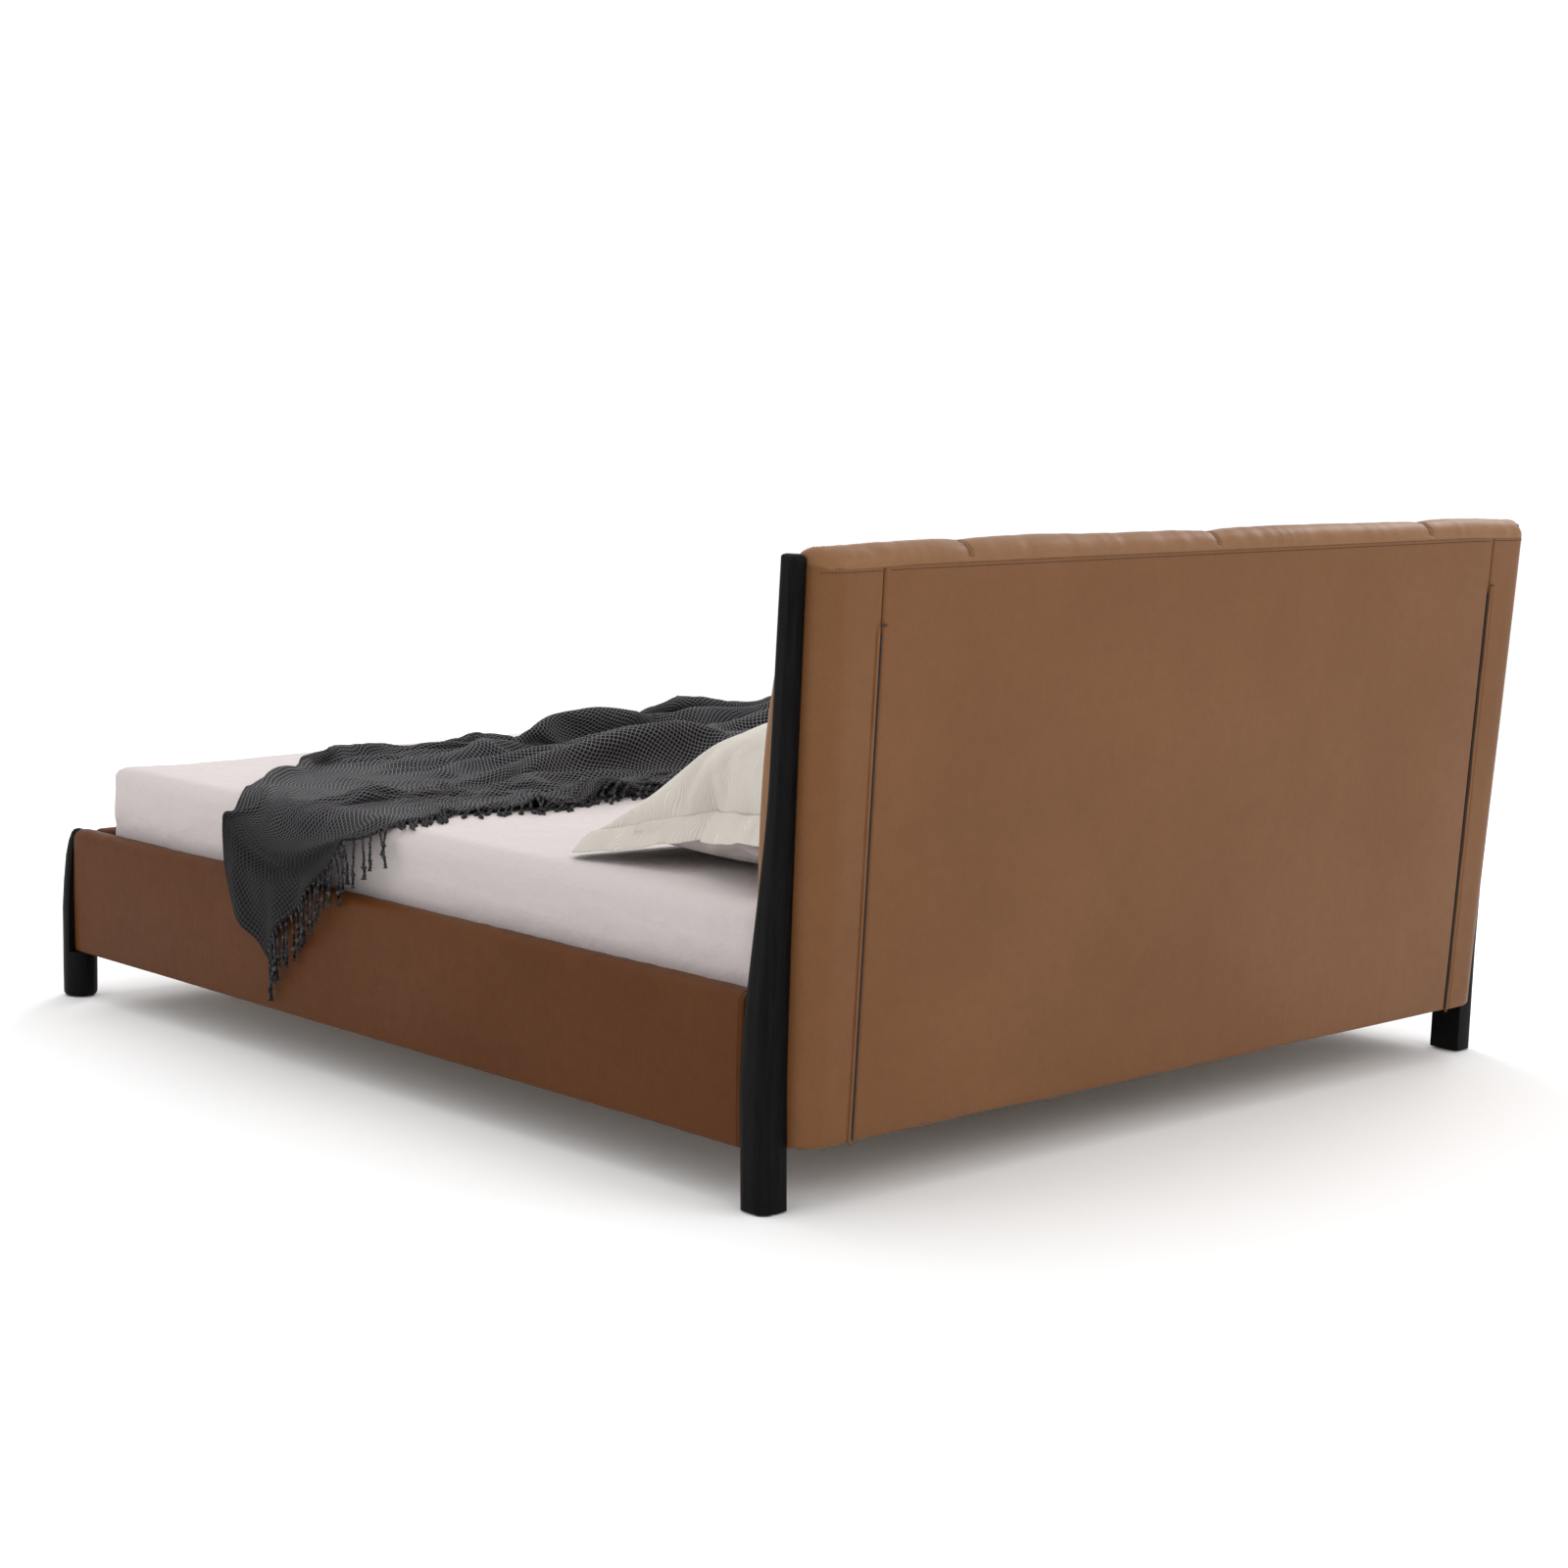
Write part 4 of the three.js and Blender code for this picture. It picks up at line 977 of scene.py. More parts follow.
# fitted sheet: a flat grid folded over the mattress edge, creased by its elastic
def fittedSheet():
    plan = sheetPlan
    low, high = sheetLow, sheetHigh
    middle = (low + high) / 2
    halfX, halfY = (high.x - low.x) / 2 - 0.0002, (high.y - low.y) / 2 - 0.0002
    arc = 0.5 * math.pi * (plan["edgeRound"] + plan["edgeFall"]) / 2
    reach = arc + (high.z - plan["edgeFall"] - low.z)
    coreX, coreY = halfX - plan["edgeRound"], halfY - plan["edgeRound"]
    columns = int(2 * (coreX + reach) / plan["step"])
    rows = int(2 * (coreY + reach) / plan["step"])
    a, b = np.meshgrid(np.linspace(-coreX - reach, coreX + reach, columns),
                       np.linspace(-coreY - reach, coreY + reach, rows))
    ca, cb = np.clip(a, -coreX, coreX), np.clip(b, -coreY, coreY)
    ea, eb = a - ca, b - cb
    down = np.maximum(np.abs(ea), np.abs(eb))
    length = np.maximum(np.hypot(ea, eb), 1e-9)
    na, nb = ea / length, eb / length
    bend = np.clip(down / arc, 0, 1) * math.pi / 2
    out = plan["edgeRound"] * np.sin(bend)
    z = high.z - plan["edgeFall"] * (1 - np.cos(bend)) - np.clip(down - arc, 0, None)
    x, y = middle.x + ca + na * out, middle.y + cb + nb * out
    onSide = smooth(0.4, 1.0, down / arc)
    top = 1 - smooth(0.2, 1.0, down / arc)
    depth = high.z - z
    run = np.where(np.abs(na) > 0.7, y, x)
    freeSide = smooth(railHigh.z - 0.01, railHigh.z + 0.03, z)
    long = creaseNoise(run * 2.6 + 3 * softNoise(run * 1.1, 3), z * 30 + run * 1.3, 0, 51, 2.4)
    fine = creaseNoise(run * 5, z * 62 - run * 2.5, 5, 52, 2.2)
    fromHead = high.y - y
    gatherMask = np.exp(-np.clip(fromHead, 0, None) / 0.11) * onSide
    gather = creaseNoise(run * 33 + z * 14, z * 9, 0, 53, 1.8) + 0.5 * softNoise(run * 60, z * 18, 2, 54)
    fromFoot = y - low.y
    footMask = np.exp(-fromFoot / 0.10) * onSide
    corner = np.exp(-np.hypot(np.abs(x - middle.x) - halfX, fromFoot) / 0.05)
    drag = creaseNoise((depth * 0.8 + fromFoot * 0.5) * 34, (fromFoot - depth) * 5, 1, 55, 2.0)
    shift = 0.0028 * onSide * np.sin(np.clip(depth / 0.19, 0, 1) * math.pi) * freeSide
    shift += plan["sideCrease"] * (long + 0.45 * fine) * onSide * (0.35 + 0.65 * freeSide)
    shift += plan["gather"] * gather * gatherMask * (0.3 + 0.7 * freeSide)
    shift += 0.0035 * drag * footMask * (0.3 + 0.7 * freeSide)
    shift += plan["sideCrease"] * 1.4
    ear = plan["ear"] * corner * np.exp(-((depth - 0.006) / 0.016) ** 2)
    swell = softNoise(x * 3.1, y * 2.3, 0, 56) * 0.0016
    swell = swell + 0.0011 * creaseNoise(x * 4.5 + y, y * 2.2 - x, 0, 57, 2.0)
    pull = creaseNoise((x + y) * 6, (x - y) * 1.6, 3, 58, 2.0) * 0.0016
    x = x + na * (shift + ear)
    y = y + nb * (shift + ear)
    z = z + top * (swell + pull * np.exp(-np.minimum(fromFoot, fromHead) / 0.35) + 0.0022)
    z = z + ear * 0.35
    uv = np.stack([a.ravel(), b.ravel()], axis=1)
    points = np.stack([x.ravel(), y.ravel(), z.ravel()], axis=1)
    sheet = meshPiece("fitted_sheet_cotton", points, gridFaces(rows, columns), uv)
    wallThickness(sheet, plan["thickness"])
    paint(sheet, finishes["percale"])
    return setPiece(sheet, "mattress_set", "white_cotton", "fitted_sheet")


sheet = fittedSheet()
print("sheet fitted")


# runs cloth on a piece and keeps the result in its mesh
def runCloth(piece, frames, pressure=0.0, gravity=0.0, pins=None, selfGap=None,
             gap=0.004, stiff=15.0, bend=0.5, mass=0.3, quality=6, air=1.0, fill=None):
    cloth = piece.modifiers.new("cloth", "CLOTH")
    cloth.point_cache.frame_start = 1
    cloth.point_cache.frame_end = frames
    settings = cloth.settings
    settings.quality = quality
    settings.mass = mass
    settings.air_damping = air
    settings.tension_stiffness = stiff
    settings.compression_stiffness = stiff
    settings.shear_stiffness = stiff * 0.4
    settings.bending_stiffness = bend
    settings.tension_damping = 8
    settings.compression_damping = 8
    settings.shear_damping = 8
    settings.effector_weights.gravity = gravity
    if pins:
        settings.vertex_group_mass = pins
    if pressure:
        settings.use_pressure = True
        settings.uniform_pressure_force = pressure
        if fill:
            settings.use_pressure_volume = True
            settings.target_volume = fill
    cloth.collision_settings.distance_min = gap
    cloth.collision_settings.use_collision = gap > 0
    if selfGap:
        cloth.collision_settings.use_self_collision = True
        cloth.collision_settings.self_distance_min = selfGap
        cloth.collision_settings.self_friction = 8
    for step in range(1, frames + 1):
        scene.frame_set(step)
    settle(piece)
    scene.frame_set(1)
    return piece


lowerPillowPlan = dict(
    step=0.0125,
    start=0.030,
    frames=26,
    pressure=5.0,
    fill=0.62,  # share of the box it may fill
)
upperPillowPlan = dict(
    step=0.0125,
    start=0.040,
    frames=28,
    pressure=5.0,
    fill=0.60,
    size=(0.800, 0.590),
    height=0.262,
    flange=0.046,
    hem=0.0026,
    tilt=15.0,
    placeY=-0.391,
    placeZ=0.128,
    droop=0.030,
    under=0.30,
    fall=0.8,
    sideSag=0.040,
    sideSlope=0.105,
)
upperPillowPlan["grid"] = (
    int((upperPillowPlan["size"][1] - 2 * upperPillowPlan["flange"]) / upperPillowPlan["step"]),
    int((upperPillowPlan["size"][0] - 2 * upperPillowPlan["flange"]) / upperPillowPlan["step"]),
)


# two layers of cloth sewn round their edge, blown up like a filled pillow
def blownPillow(name, size, plan, seed):
    width, depth, height = size
    columns, rows = int(width / plan["step"]), int(depth / plan["step"])
    a, b = np.meshgrid(np.linspace(-1, 1, columns), np.linspace(-1, 1, rows))
    pinch = 1 - 0.035 * (1 - np.abs(b) ** 2) * np.abs(a) ** 6
    pinchSide = 1 - 0.045 * (1 - np.abs(a) ** 2) * np.abs(b) ** 6
    x, y = a * pinch * width / 2, b * pinchSide * depth / 2
    lift = plan["start"] / 2 * ((1 - a ** 6) * (1 - b ** 6)) ** 0.5
    lift = lift + 0.0012 * softNoise(a * 7, b * 6, 0, seed) * (1 - np.abs(a)) * (1 - np.abs(b))
    faces = gridFaces(rows, columns)
    count = rows * columns
    upper = np.stack([x.ravel(), y.ravel(), lift.ravel()], axis=1)
    inside = (np.abs(a) < 0.9999).ravel() & (np.abs(b) < 0.9999).ravel()
    lower = (upper * (1, 1, -1))[inside]
    twin = np.arange(count)
    twin[inside] = count + np.arange(inside.sum())
    under = [tuple(int(twin[i]) for i in reversed(face)) for face in faces]
    pillow = meshPiece(name, np.vstack([upper, lower]), faces + under)
    fill = width * depth * height * plan["fill"]
    runCloth(pillow, plan["frames"], pressure=plan["pressure"], stiff=18, bend=0.15, mass=0.25,
             gap=0, fill=fill)
    return pillow


# the points of a grid's outline, in order
def seamRing(rows, columns):
    ring = [c for c in range(columns)]
    ring += [r * columns + columns - 1 for r in range(1, rows)]
    ring += [(rows - 1) * columns + c for c in range(columns - 2, -1, -1)]
    ring += [r * columns for r in range(rows - 2, 0, -1)]
    return ring


def fitSize(points, size):
    low, high = points.min(0), points.max(0)
    middle = (low + high) / 2
    scale = np.array([size[0] / (high[0] - low[0]), size[1] / (high[1] - low[1]), 1.0])
    points = (points - middle) * scale
    points[:, 2] *= size[2] / (points[:, 2].max() - points[:, 2].min())
    return points


# a sewn-on flat border outside the pillow's seam, slightly ruffled
def flangePoints(ring, width, fall, seed):
    after = np.roll(ring, -1, 0) - np.roll(ring, 1, 0)
    out = np.stack([after[:, 1], -after[:, 0], np.zeros(len(ring))], axis=1)
    out /= np.linalg.norm(out, axis=1)[:, None]
    if (out * (ring - ring.mean(0))).sum() < 0:
        out = -out
    for _ in range(12):
        out = (out + np.roll(out, 1, 0) + np.roll(out, -1, 0)) / 3
    out /= np.linalg.norm(out, axis=1)[:, None]
    run = np.cumsum(np.linalg.norm(ring - np.roll(ring, 1, 0), axis=1))
    rows = []
    for share in (0.0, 0.15, 0.35, 0.55, 0.75, 0.9, 1.0):
        ruffle = share * (0.0055 * softNoise(run * 14, 0, 0, seed) + 0.0035 * softNoise(run * 33, 2, 0, seed))
        row = ring + out * width * share
        row[:, 2] += ruffle - fall * width * share ** 1.4
        rows.append(row)
    return np.array(rows)


# lifts points out of what they rest on
def restOn(points, floorZ, blocks=(), gap=0.0012):
    settled = points.copy()
    settled[:, 2] = np.maximum(settled[:, 2], floorZ + gap)
    for block in blocks:
        tree = BVHTree.FromObject(block, bpy.context.evaluated_depsgraph_get())
        for i, point in enumerate(settled):
            hit = tree.ray_cast(Vector((point[0], point[1], 3.0)), Vector((0, 0, -1)))
            if hit[0] is not None and point[2] < hit[0].z + gap:
                under = tree.ray_cast(Vector((point[0], point[1], -1.0)), Vector((0, 0, 1)))
                if point[2] > under[0].z - 0.02:
                    settled[i, 2] = hit[0].z + gap
    return settled


ribPlan = dict(pitch=0.0052, height=0.0005)


# cream cotton with fine wavy ribs that wander round the pillow
def ribbedCotton():
    cloth = Finish("ribbed_cream_cotton")
    uv = cloth.node("UVMap", {"uv_map": "flat"})
    parts = cloth.axes(uv, 2)
    sway = cloth.noise(uv, 13, detail=2)
    wander = cloth.noise(uv, 34, detail=1)
    ripple = ((parts[1] + sway * 0.055 + wander * 0.010) * (2 * math.pi / ribPlan["pitch"])).sine()
    weave = (parts[0] * 5200).sine() * (parts[1] * 5200).sine()
    slub = cloth.noise(uv, 260, detail=4)
    fold = cloth.noise(cloth.place(), 11, detail=4, distortion=0.7)
    tone = cloth.blend(cloth.spread(ripple, -1, 0.6), (0.470, 0.432, 0.376), (0.560, 0.520, 0.468))
    shaded = cloth.blend(slub * 0.25, tone, (0.49, 0.45, 0.395))
    fine = cloth.relief(weave * 0.2 + slub * 0.4, 0.0003)
    ribs = cloth.relief(cloth.spread(ripple, -1, 1), ribPlan["height"], normal=fine)
    normal = cloth.relief(cloth.spread(fold, 0.3, 0.7), 0.002, normal=ribs)
    sockets = dict(Base_Color=shaded, Roughness=0.85 + slub * 0.1, Normal=normal)
    return cloth.finish(Sheen_Weight=0.15, Sheen_Roughness=0.5, **sockets)


finishes["ribbed"] = ribbedCotton()


# the flat border: a thin closed skin round the points of the seam
def addBorder(piece, ring, rows, thickness):
    points = meshPoints(piece)
    border = flangePoints(points[ring], rows["width"], rows["fall"], rows["seed"])
    count = len(ring)
    skins = []
    for offset in (thickness / 2, -thickness / 2):
        skin = border.copy()
        skin[:, :, 2] += offset
        skins.append(skin)
    loop = np.vstack([skins[0], skins[1][::-1]])
    faces = []
    total = len(loop)
    for r in range(total):
        for c in range(count):
            d, s = (c + 1) % count, (r + 1) % total
            faces.append((r * count + c, r * count + d, s * count + d, s * count + c))
    hem = meshPiece(piece.name + "_border", loop.reshape(-1, 3), faces)
    return faceOutwards(hem, 0.000001)


def tiltPoints(points, degrees, place):
    a = math.radians(degrees)
    y = points[:, 1] * math.cos(a) - points[:, 2] * math.sin(a)
    z = points[:, 1] * math.sin(a) + points[:, 2] * math.cos(a)
    return np.stack([points[:, 0] + place[0], y + place[1], z + place[2]], axis=1)


# pillows differ a little: each keeps its own sag
def slump(points, seed, amount):
    flat = points[:, :2] - points[:, :2].mean(0)
    sag = amount * softNoise(flat[:, 0] * 4, flat[:, 1] * 5, 0, seed)
    crease = amount * 0.3 * creaseNoise(flat[:, 0] * 9 + flat[:, 1] * 4, flat[:, 1] * 7, 0, seed + 1, 2.0)
    points = points.copy()
    points[:, 2] += (sag + crease) * np.sign(points[:, 2])
    return points


def joinInto(main, *others):
    shell = bmesh.new()
    for piece in (main, *others):
        shell.from_mesh(piece.data)
    shell.to_mesh(main.data)
    shell.free()
    for piece in others:
        bpy.data.objects.remove(piece)
    main.data.shade_smooth()
    return main


def copyPiece(piece, name):
    twin = bpy.data.objects.new(name, piece.data.copy())
    scene.collection.objects.link(twin)
    return twin


def makePillows():
    low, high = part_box("pillow_lower_right")
    size = high - low
    centre = (low + high) / 2
    lowerBlank = blownPillow("lower_blank", tuple(size), lowerPillowPlan, 61)
    plan = upperPillowPlan
    bodySize = tuple(s - 2 * plan["flange"] for s in plan["size"]) + (plan["height"],)
    upperBlank = blownPillow("upper_blank", bodySize, plan, 67)
    lowerFlat = fitSize(meshPoints(lowerBlank), tuple(size))
    upperFlat = fitSize(meshPoints(upperBlank), bodySize)
    upperFlat[:, 2] = np.where(upperFlat[:, 2] < 0, upperFlat[:, 2] * plan["under"], upperFlat[:, 2])
    movePoints(lowerBlank, lowerFlat)
    movePoints(upperBlank, upperFlat)
    for step, (name, side) in enumerate(sides.items()):
        lower = copyPiece(lowerBlank, f"pillow_lower_{name}_cotton")
        setFlat(lower.data, meshPoints(lower)[:, :2])
        placed = slump(lowerFlat, 71 + step, 0.006) * (side, 1, 1) + (side * centre.x, centre.y, centre.z)
        movePoints(lower, restOn(placed, sheetTop, gap=0.0026))
        roundUp(lower)
        faceOutwards(lower, 0.000001)
        paint(lower, finishes["percale"])
        setPiece(lower, f"pillow_lower_{name}_piece", "white_cotton", f"pillow_lower_{name}")
        upper = copyPiece(upperBlank, f"pillow_upper_{name}_cotton")
        slumped = slump(upperFlat, 81 + step, 0.010)
        movePoints(upper, slumped)
        ring = seamRing(*plan["grid"])
        border = dict(width=plan["flange"], fall=plan["fall"], seed=91 + step)
        hem = addBorder(upper, ring, border, plan["hem"])
        setFlat(upper.data, meshPoints(upper)[:, :2])
        setFlat(hem.data, meshPoints(hem)[:, :2])
        joinInto(upper, hem)
        roundUp(upper)
        points = meshPoints(upper) * (side, 1, 1)
        seat = (side * centre.x, backPlane + plan["placeY"], sheetTop + plan["placeZ"])
        points = tiltPoints(points, plan["tilt"], seat)
        # the front corners droop until they touch the sheet
        front = smooth(seat[1] - 0.05, points[:, 1].min(), points[:, 1])
        outer = smooth(0.55, 1.0, np.abs(points[:, 0] - seat[0]) / (plan["size"][0] / 2))
        reach = np.abs(points[:, 0] - seat[0]) / (plan["size"][0] / 2)
        sag = plan["sideSag"] + plan["sideSlope"] * (points[:, 1] - seat[1])
        points[:, 2] -= plan["droop"] * front * (1 - outer) + sag * smooth(0.25, 1.0, reach)
        movePoints(upper, restOn(points, sheetTop, [lower], gap=0.0075))
        faceOutwards(upper, 0.000001)
        paint(upper, finishes["ribbed"])
        setPiece(upper, f"pillow_upper_{name}_piece", "cream_cotton", f"pillow_upper_{name}")
    bpy.data.objects.remove(lowerBlank)
    bpy.data.objects.remove(upperBlank)


makePillows()
print("pillows filled")


throwPlan = dict(
    flat=(1.22, 1.62),
    step=0.0142,
    thickness=0.0045,
    frames=28,
    ripple=0.105,
    rippleWidth=0.150,
    roll=0.0095,
    gap=0.0045,
    railSkin=0.0075,
    arches=[(0.745, 0.075), (0.560, 0.060), (0.34, 0.07)],
    archHeight=0.030,
    hold=1.0,
)


# each edge of the blanket as it lies: across, along from the posts' back, and up from the sheet
throwEdges = dict(
    fringed=[
        (0.968, -1.403, -0.284), (0.968, -1.372, -0.232), (0.968, -1.276, -0.152), (0.968, -1.199, -0.078),
        (0.966, -1.141, -0.016), (0.940, -1.112, 0.010), (0.870, -1.090, 0.012), (0.815, -1.085, 0.012),
        (0.745, -1.105, 0.012), (0.720, -1.120, 0.012), (0.650, -1.085, 0.012), (0.585, -1.075, 0.012),
        (0.500, -1.010, 0.012), (0.380, -1.060, 0.012), (0.250, -1.100, 0.012), (0.130, -1.080, 0.012),
    ],
    near=[
        (0.968, -1.403, -0.284), (0.968, -1.425, -0.250), (0.968, -1.485, -0.224), (0.968, -1.545, -0.134),
        (0.968, -1.556, -0.017), (0.945, -1.560, 0.008), (0.890, -1.600, 0.014), (0.800, -1.665, 0.014),
        (0.620, -1.840, 0.014), (0.480, -1.930, 0.014), (0.350, -1.950, 0.014), (0.234, -1.920, 0.014),
        (0.109, -1.940, 0.014), (-0.060, -1.900, 0.014), (-0.200, -1.880, 0.014),
    ],
    farFringed=[
        (-0.200, -1.880, 0.014), (-0.400, -1.960, 0.014), (-0.600, -1.960, 0.014), (-0.760, -1.860, 0.014),
        (-0.860, -1.640, 0.014),
    ],
    far=[
        (0.130, -1.080, 0.012), (-0.080, -1.150, 0.012), (-0.300, -1.110, 0.012), (-0.550, -1.180, 0.012),
        (-0.760, -1.330, 0.012), (-0.860, -1.640, 0.014),
    ],
)


def evenPath(points, count):
    points = np.array(points, float)
    run = pathRun(points)
    path = alongPath(points, run, np.linspace(0, run[-1], count))
    for _ in range(3):
        path[1:-1] = (path[:-2] + 2 * path[1:-1] + path[2:]) / 4
    return path


def blanketLayout(plan):
    columns = int(plan["flat"][0] / plan["step"])
    rows = int(plan["flat"][1] / plan["step"])
    base, far = evenPath(throwEdges["fringed"], columns), evenPath(throwEdges["farFringed"], columns)
    start, end = evenPath(throwEdges["near"], rows), evenPath(throwEdges["far"], rows)
    s = np.linspace(0, 1, columns)[None, :, None]
    t = np.linspace(0, 1, rows)[:, None, None]
    across = base[None] * (1 - t) + far[None] * t
    along = start[:, None] * (1 - s) + end[:, None] * s
    corners = (base[0] * (1 - s) + base[-1] * s) * (1 - t) + (far[0] * (1 - s) + far[-1] * s) * t
    return across + along - corners, rows, columns


# how far each point of a grid is from its first edge, measured along the cloth
def runAlong(grid, axis):
    run = np.cumsum(np.linalg.norm(np.diff(grid, axis=axis), axis=2), axis=axis)
    return np.concatenate([np.zeros_like(run.take([0], axis=axis)), run], axis=axis)


# keeps cloth outside the mattress and the rail before it is let go
def clearOf(points):
    skin = 0.004
    side = sheetHigh.x + 0.008
    railOut = railHigh.x + throwPlan["railSkin"]
    x, z = points[..., 0], points[..., 2]
    onTop = x < side
    z[:] = np.where(onTop, np.maximum(z, sheetTop + skin), z)
    over = (~onTop) & (z < railHigh.z + 0.02)
    x[:] = np.where(over, np.maximum(x, railOut), x)
    return points


def colliderBox(name, low, high, radius=0.02):
    shell = bmesh.new()
    bmesh.ops.create_cube(shell, size=1)
    for point in shell.verts:
        point.co = Vector([low[i] + (point.co[i] + 0.5) * (high[i] - low[i]) for i in range(3)])
    bmesh.ops.bevel(shell, geom=shell.edges[:], offset=radius, segments=5, profile=0.5, affect="EDGES")
    bmesh.ops.triangulate(shell, faces=shell.faces[:])
    mesh = bpy.data.meshes.new(name)
    shell.to_mesh(mesh)
    shell.free()
    box = bpy.data.objects.new(name, mesh)
    scene.collection.objects.link(box)
    box.modifiers.new("hard", "COLLISION")
    box.collision.thickness_outer = 0.002
    box.collision.cloth_friction = 12
    return box


# the blanket starts with its folds laid out, and gravity settles them on the bed
def throwPiece():
    plan = throwPlan
    layout, rows, columns = blanketLayout(plan)
    layout[..., 1] += backPlane
    layout[..., 2] += sheetTop
    s, t = np.meshgrid(np.linspace(0, plan["flat"][0], columns), np.linspace(0, plan["flat"][1], rows))
    x, y, z = layout[..., 0], layout[..., 1], layout[..., 2]
    bunch = smooth(0.80, 0.20, x)
    sway = 0.06 * softNoise(x * 1.9, y * 1.6, 0, 101) + 0.02 * softNoise(x * 5, y * 4, 0, 105)
    phase = (y + 0.20 * x + sway) / plan["rippleWidth"]
    fold = (0.5 + 0.5 * np.cos(phase * 2 * math.pi)) ** 0.9
    height = plan["ripple"] * (0.5 + 0.85 * smooth(0.6, -0.5, x))
    height = height * (0.85 + 0.45 * softNoise(x * 2.6, y * 9, 0, 103))
    z += bunch * fold * np.clip(height, 0.004, None)
    y += bunch * 0.014 * np.sin(phase * 2 * math.pi)
    loose = 0.010 * smooth(0.95, 0.75, x) * (1 + softNoise(x * 9, y * 5, 0, 106))
    z += loose + 0.0015 * softNoise(x * 40, y * 40, 0, 104)
    # the near edge is rolled under itself
    onTop = smooth(0.93, 0.86, x)
    curl = np.clip(s / (math.pi * plan["roll"]), 0, 1) * math.pi
    z += onTop * plan["roll"] * (1 - np.cos(curl)) * np.exp(-np.clip(s - 0.05, 0, None) / 0.05)
    y -= onTop * plan["roll"] * np.sin(curl) - onTop * 0.022 * np.clip(1 - s / 0.03, 0, 1)
    for middle, reach in plan["arches"]:
        arch = np.clip(1 - ((x - middle) / reach) ** 2, 0, 1) ** 1.3
        z += plan["archHeight"] * arch * np.exp(-s / 0.075)
        y -= 0.05 * arch * np.exp(-s / 0.10)
    hang = smooth(0.91, 0.95, x)
    wave = np.sin((y + 0.25 * (z - sheetTop)) * 52 + 1.5) * 0.5 + 0.5
    x += hang * 0.016 * wave * smooth(sheetTop + 0.02, sheetTop - 0.16, z)
    layout = clearOf(layout)
    uv = np.stack([runAlong(layout, 1).ravel(), runAlong(layout, 0).ravel()], axis=1)
    blanket = meshPiece("throw_waffle_wool", layout.reshape(-1, 3), gridFaces(rows, columns), uv)
    edge = np.minimum(s, t)
    held = plan["hold"] * (x > 0.93) * (edge < 0.02) * (z < sheetTop - 0.03)
    held = np.maximum(held, 0.8 * (s + t < 0.03))
    pins = blanket.vertex_groups.new(name="held")
    for i in np.nonzero(held.ravel() > 0)[0]:
        pins.add([int(i)], float(held.ravel()[i]), "REPLACE")
    bedTop = colliderBox("bed_block", (sheetLow.x - 0.004, sheetLow.y, 0.1),
                         (sheetHigh.x + 0.004, sheetHigh.y, sheetHigh.z + 0.002), 0.03)
    railSide = colliderBox("rail_block", (railLow.x - 0.05, railLow.y, 0.02),
                           (railHigh.x + 0.005, railHigh.y, railHigh.z + 0.002), 0.016)
    runCloth(blanket, plan["frames"], gravity=1.0, pins="held", selfGap=0.0045, gap=plan["gap"],
             stiff=14, bend=4.0, mass=0.28, quality=5, air=3.5)
    bpy.data.objects.remove(bedTop)
    bpy.data.objects.remove(railSide)
    roundUp(blanket)
    return blanket, rows, columns


wafflePlan = dict(cell=0.0088, depth=0.0022)


# thick dark wool woven in raised squares with pale ridges; the sunk middle of each square is darkened with
# painted shade, and the part hanging past the mattress edge is painted darker as shade
def waffleWool():
    wool = Finish("grey_waffle_wool")
    uv = wool.node("UVMap", {"uv_map": "flat"})
    parts = wool.axes(uv, 2)
    turn = math.pi / wafflePlan["cell"]
    sway = wool.noise(uv, 30, detail=2) * 0.0022
    u, v = (parts[0] + sway) * turn, (parts[1] + sway) * turn
    warp, weft = u.sine(), v.sine()
    yarn = ((parts[0] + parts[1]) * 2900).sine() * 0.5 + ((parts[0] - parts[1]) * 2900).sine() * 0.5
    fuzz = wool.noise(uv, 900, detail=4, roughness=0.7)
    cloud = wool.noise(uv, 4, detail=3)
    across = wool.node("SeparateXYZ", None, {"Vector": wool.place()}, out=0)
    # painted shade: from object x 0.88 to 0.98 the ridge tone falls from the top's 0.225 to 0.052, standing
    # in for the side that hangs past the mattress lying in shade
    light = wool.blend(wool.spread(across, 0.88, 0.98), (0.225, 0.214, 0.226), (0.052, 0.048, 0.050))
    # painted shade: this near-black tone fills the middle of each square, where the bump also sinks the
    # surface
    dark = (0.005, 0.005, 0.006)
    pitDepthAndPaintedShade = wool.spread(warp.size().smallest(weft.size()), 0.14, 0.46)
    tone = wool.blend(pitDepthAndPaintedShade, light, dark)
    grained = wool.blend(fuzz * 0.2, tone, (0.034, 0.032, 0.034))
    aged = wool.blend(wool.spread(cloud, 0.35, 0.7, 0, 0.2), grained, (0.018, 0.017, 0.019))
    height = 1 - pitDepthAndPaintedShade
    fine = wool.relief(yarn * 0.4 + fuzz, 0.0005)
    normal = wool.relief(height, wafflePlan["depth"], normal=fine)
    sockets = dict(Base_Color=aged, Roughness=0.9 + fuzz * 0.08, Normal=normal)
    return wool.finish(Sheen_Weight=0.03, Sheen_Roughness=0.5, Specular_IOR_Level=0.1, **sockets)


def yarnWool():
    wool = Finish("grey_fringe_wool")
    fuzz = wool.noise(wool.place(), 1600, detail=4, roughness=0.7)
    clump = wool.noise(wool.place(), 130, detail=3)
    tone = wool.blend(wool.spread(clump, 0.35, 0.7), (0.020, 0.020, 0.021), (0.075, 0.073, 0.076))
    fine = wool.blend(fuzz * 0.5, tone, (0.040, 0.039, 0.041))
    sockets = dict(Base_Color=fine, Roughness=0.88 + fuzz * 0.1, Normal=wool.relief(fuzz, 0.0006))
    return wool.finish(Sheen_Weight=0.06, Sheen_Roughness=0.6, Specular_IOR_Level=0.1, **sockets)


finishes["waffle"] = waffleWool()
finishes["yarn"] = yarnWool()


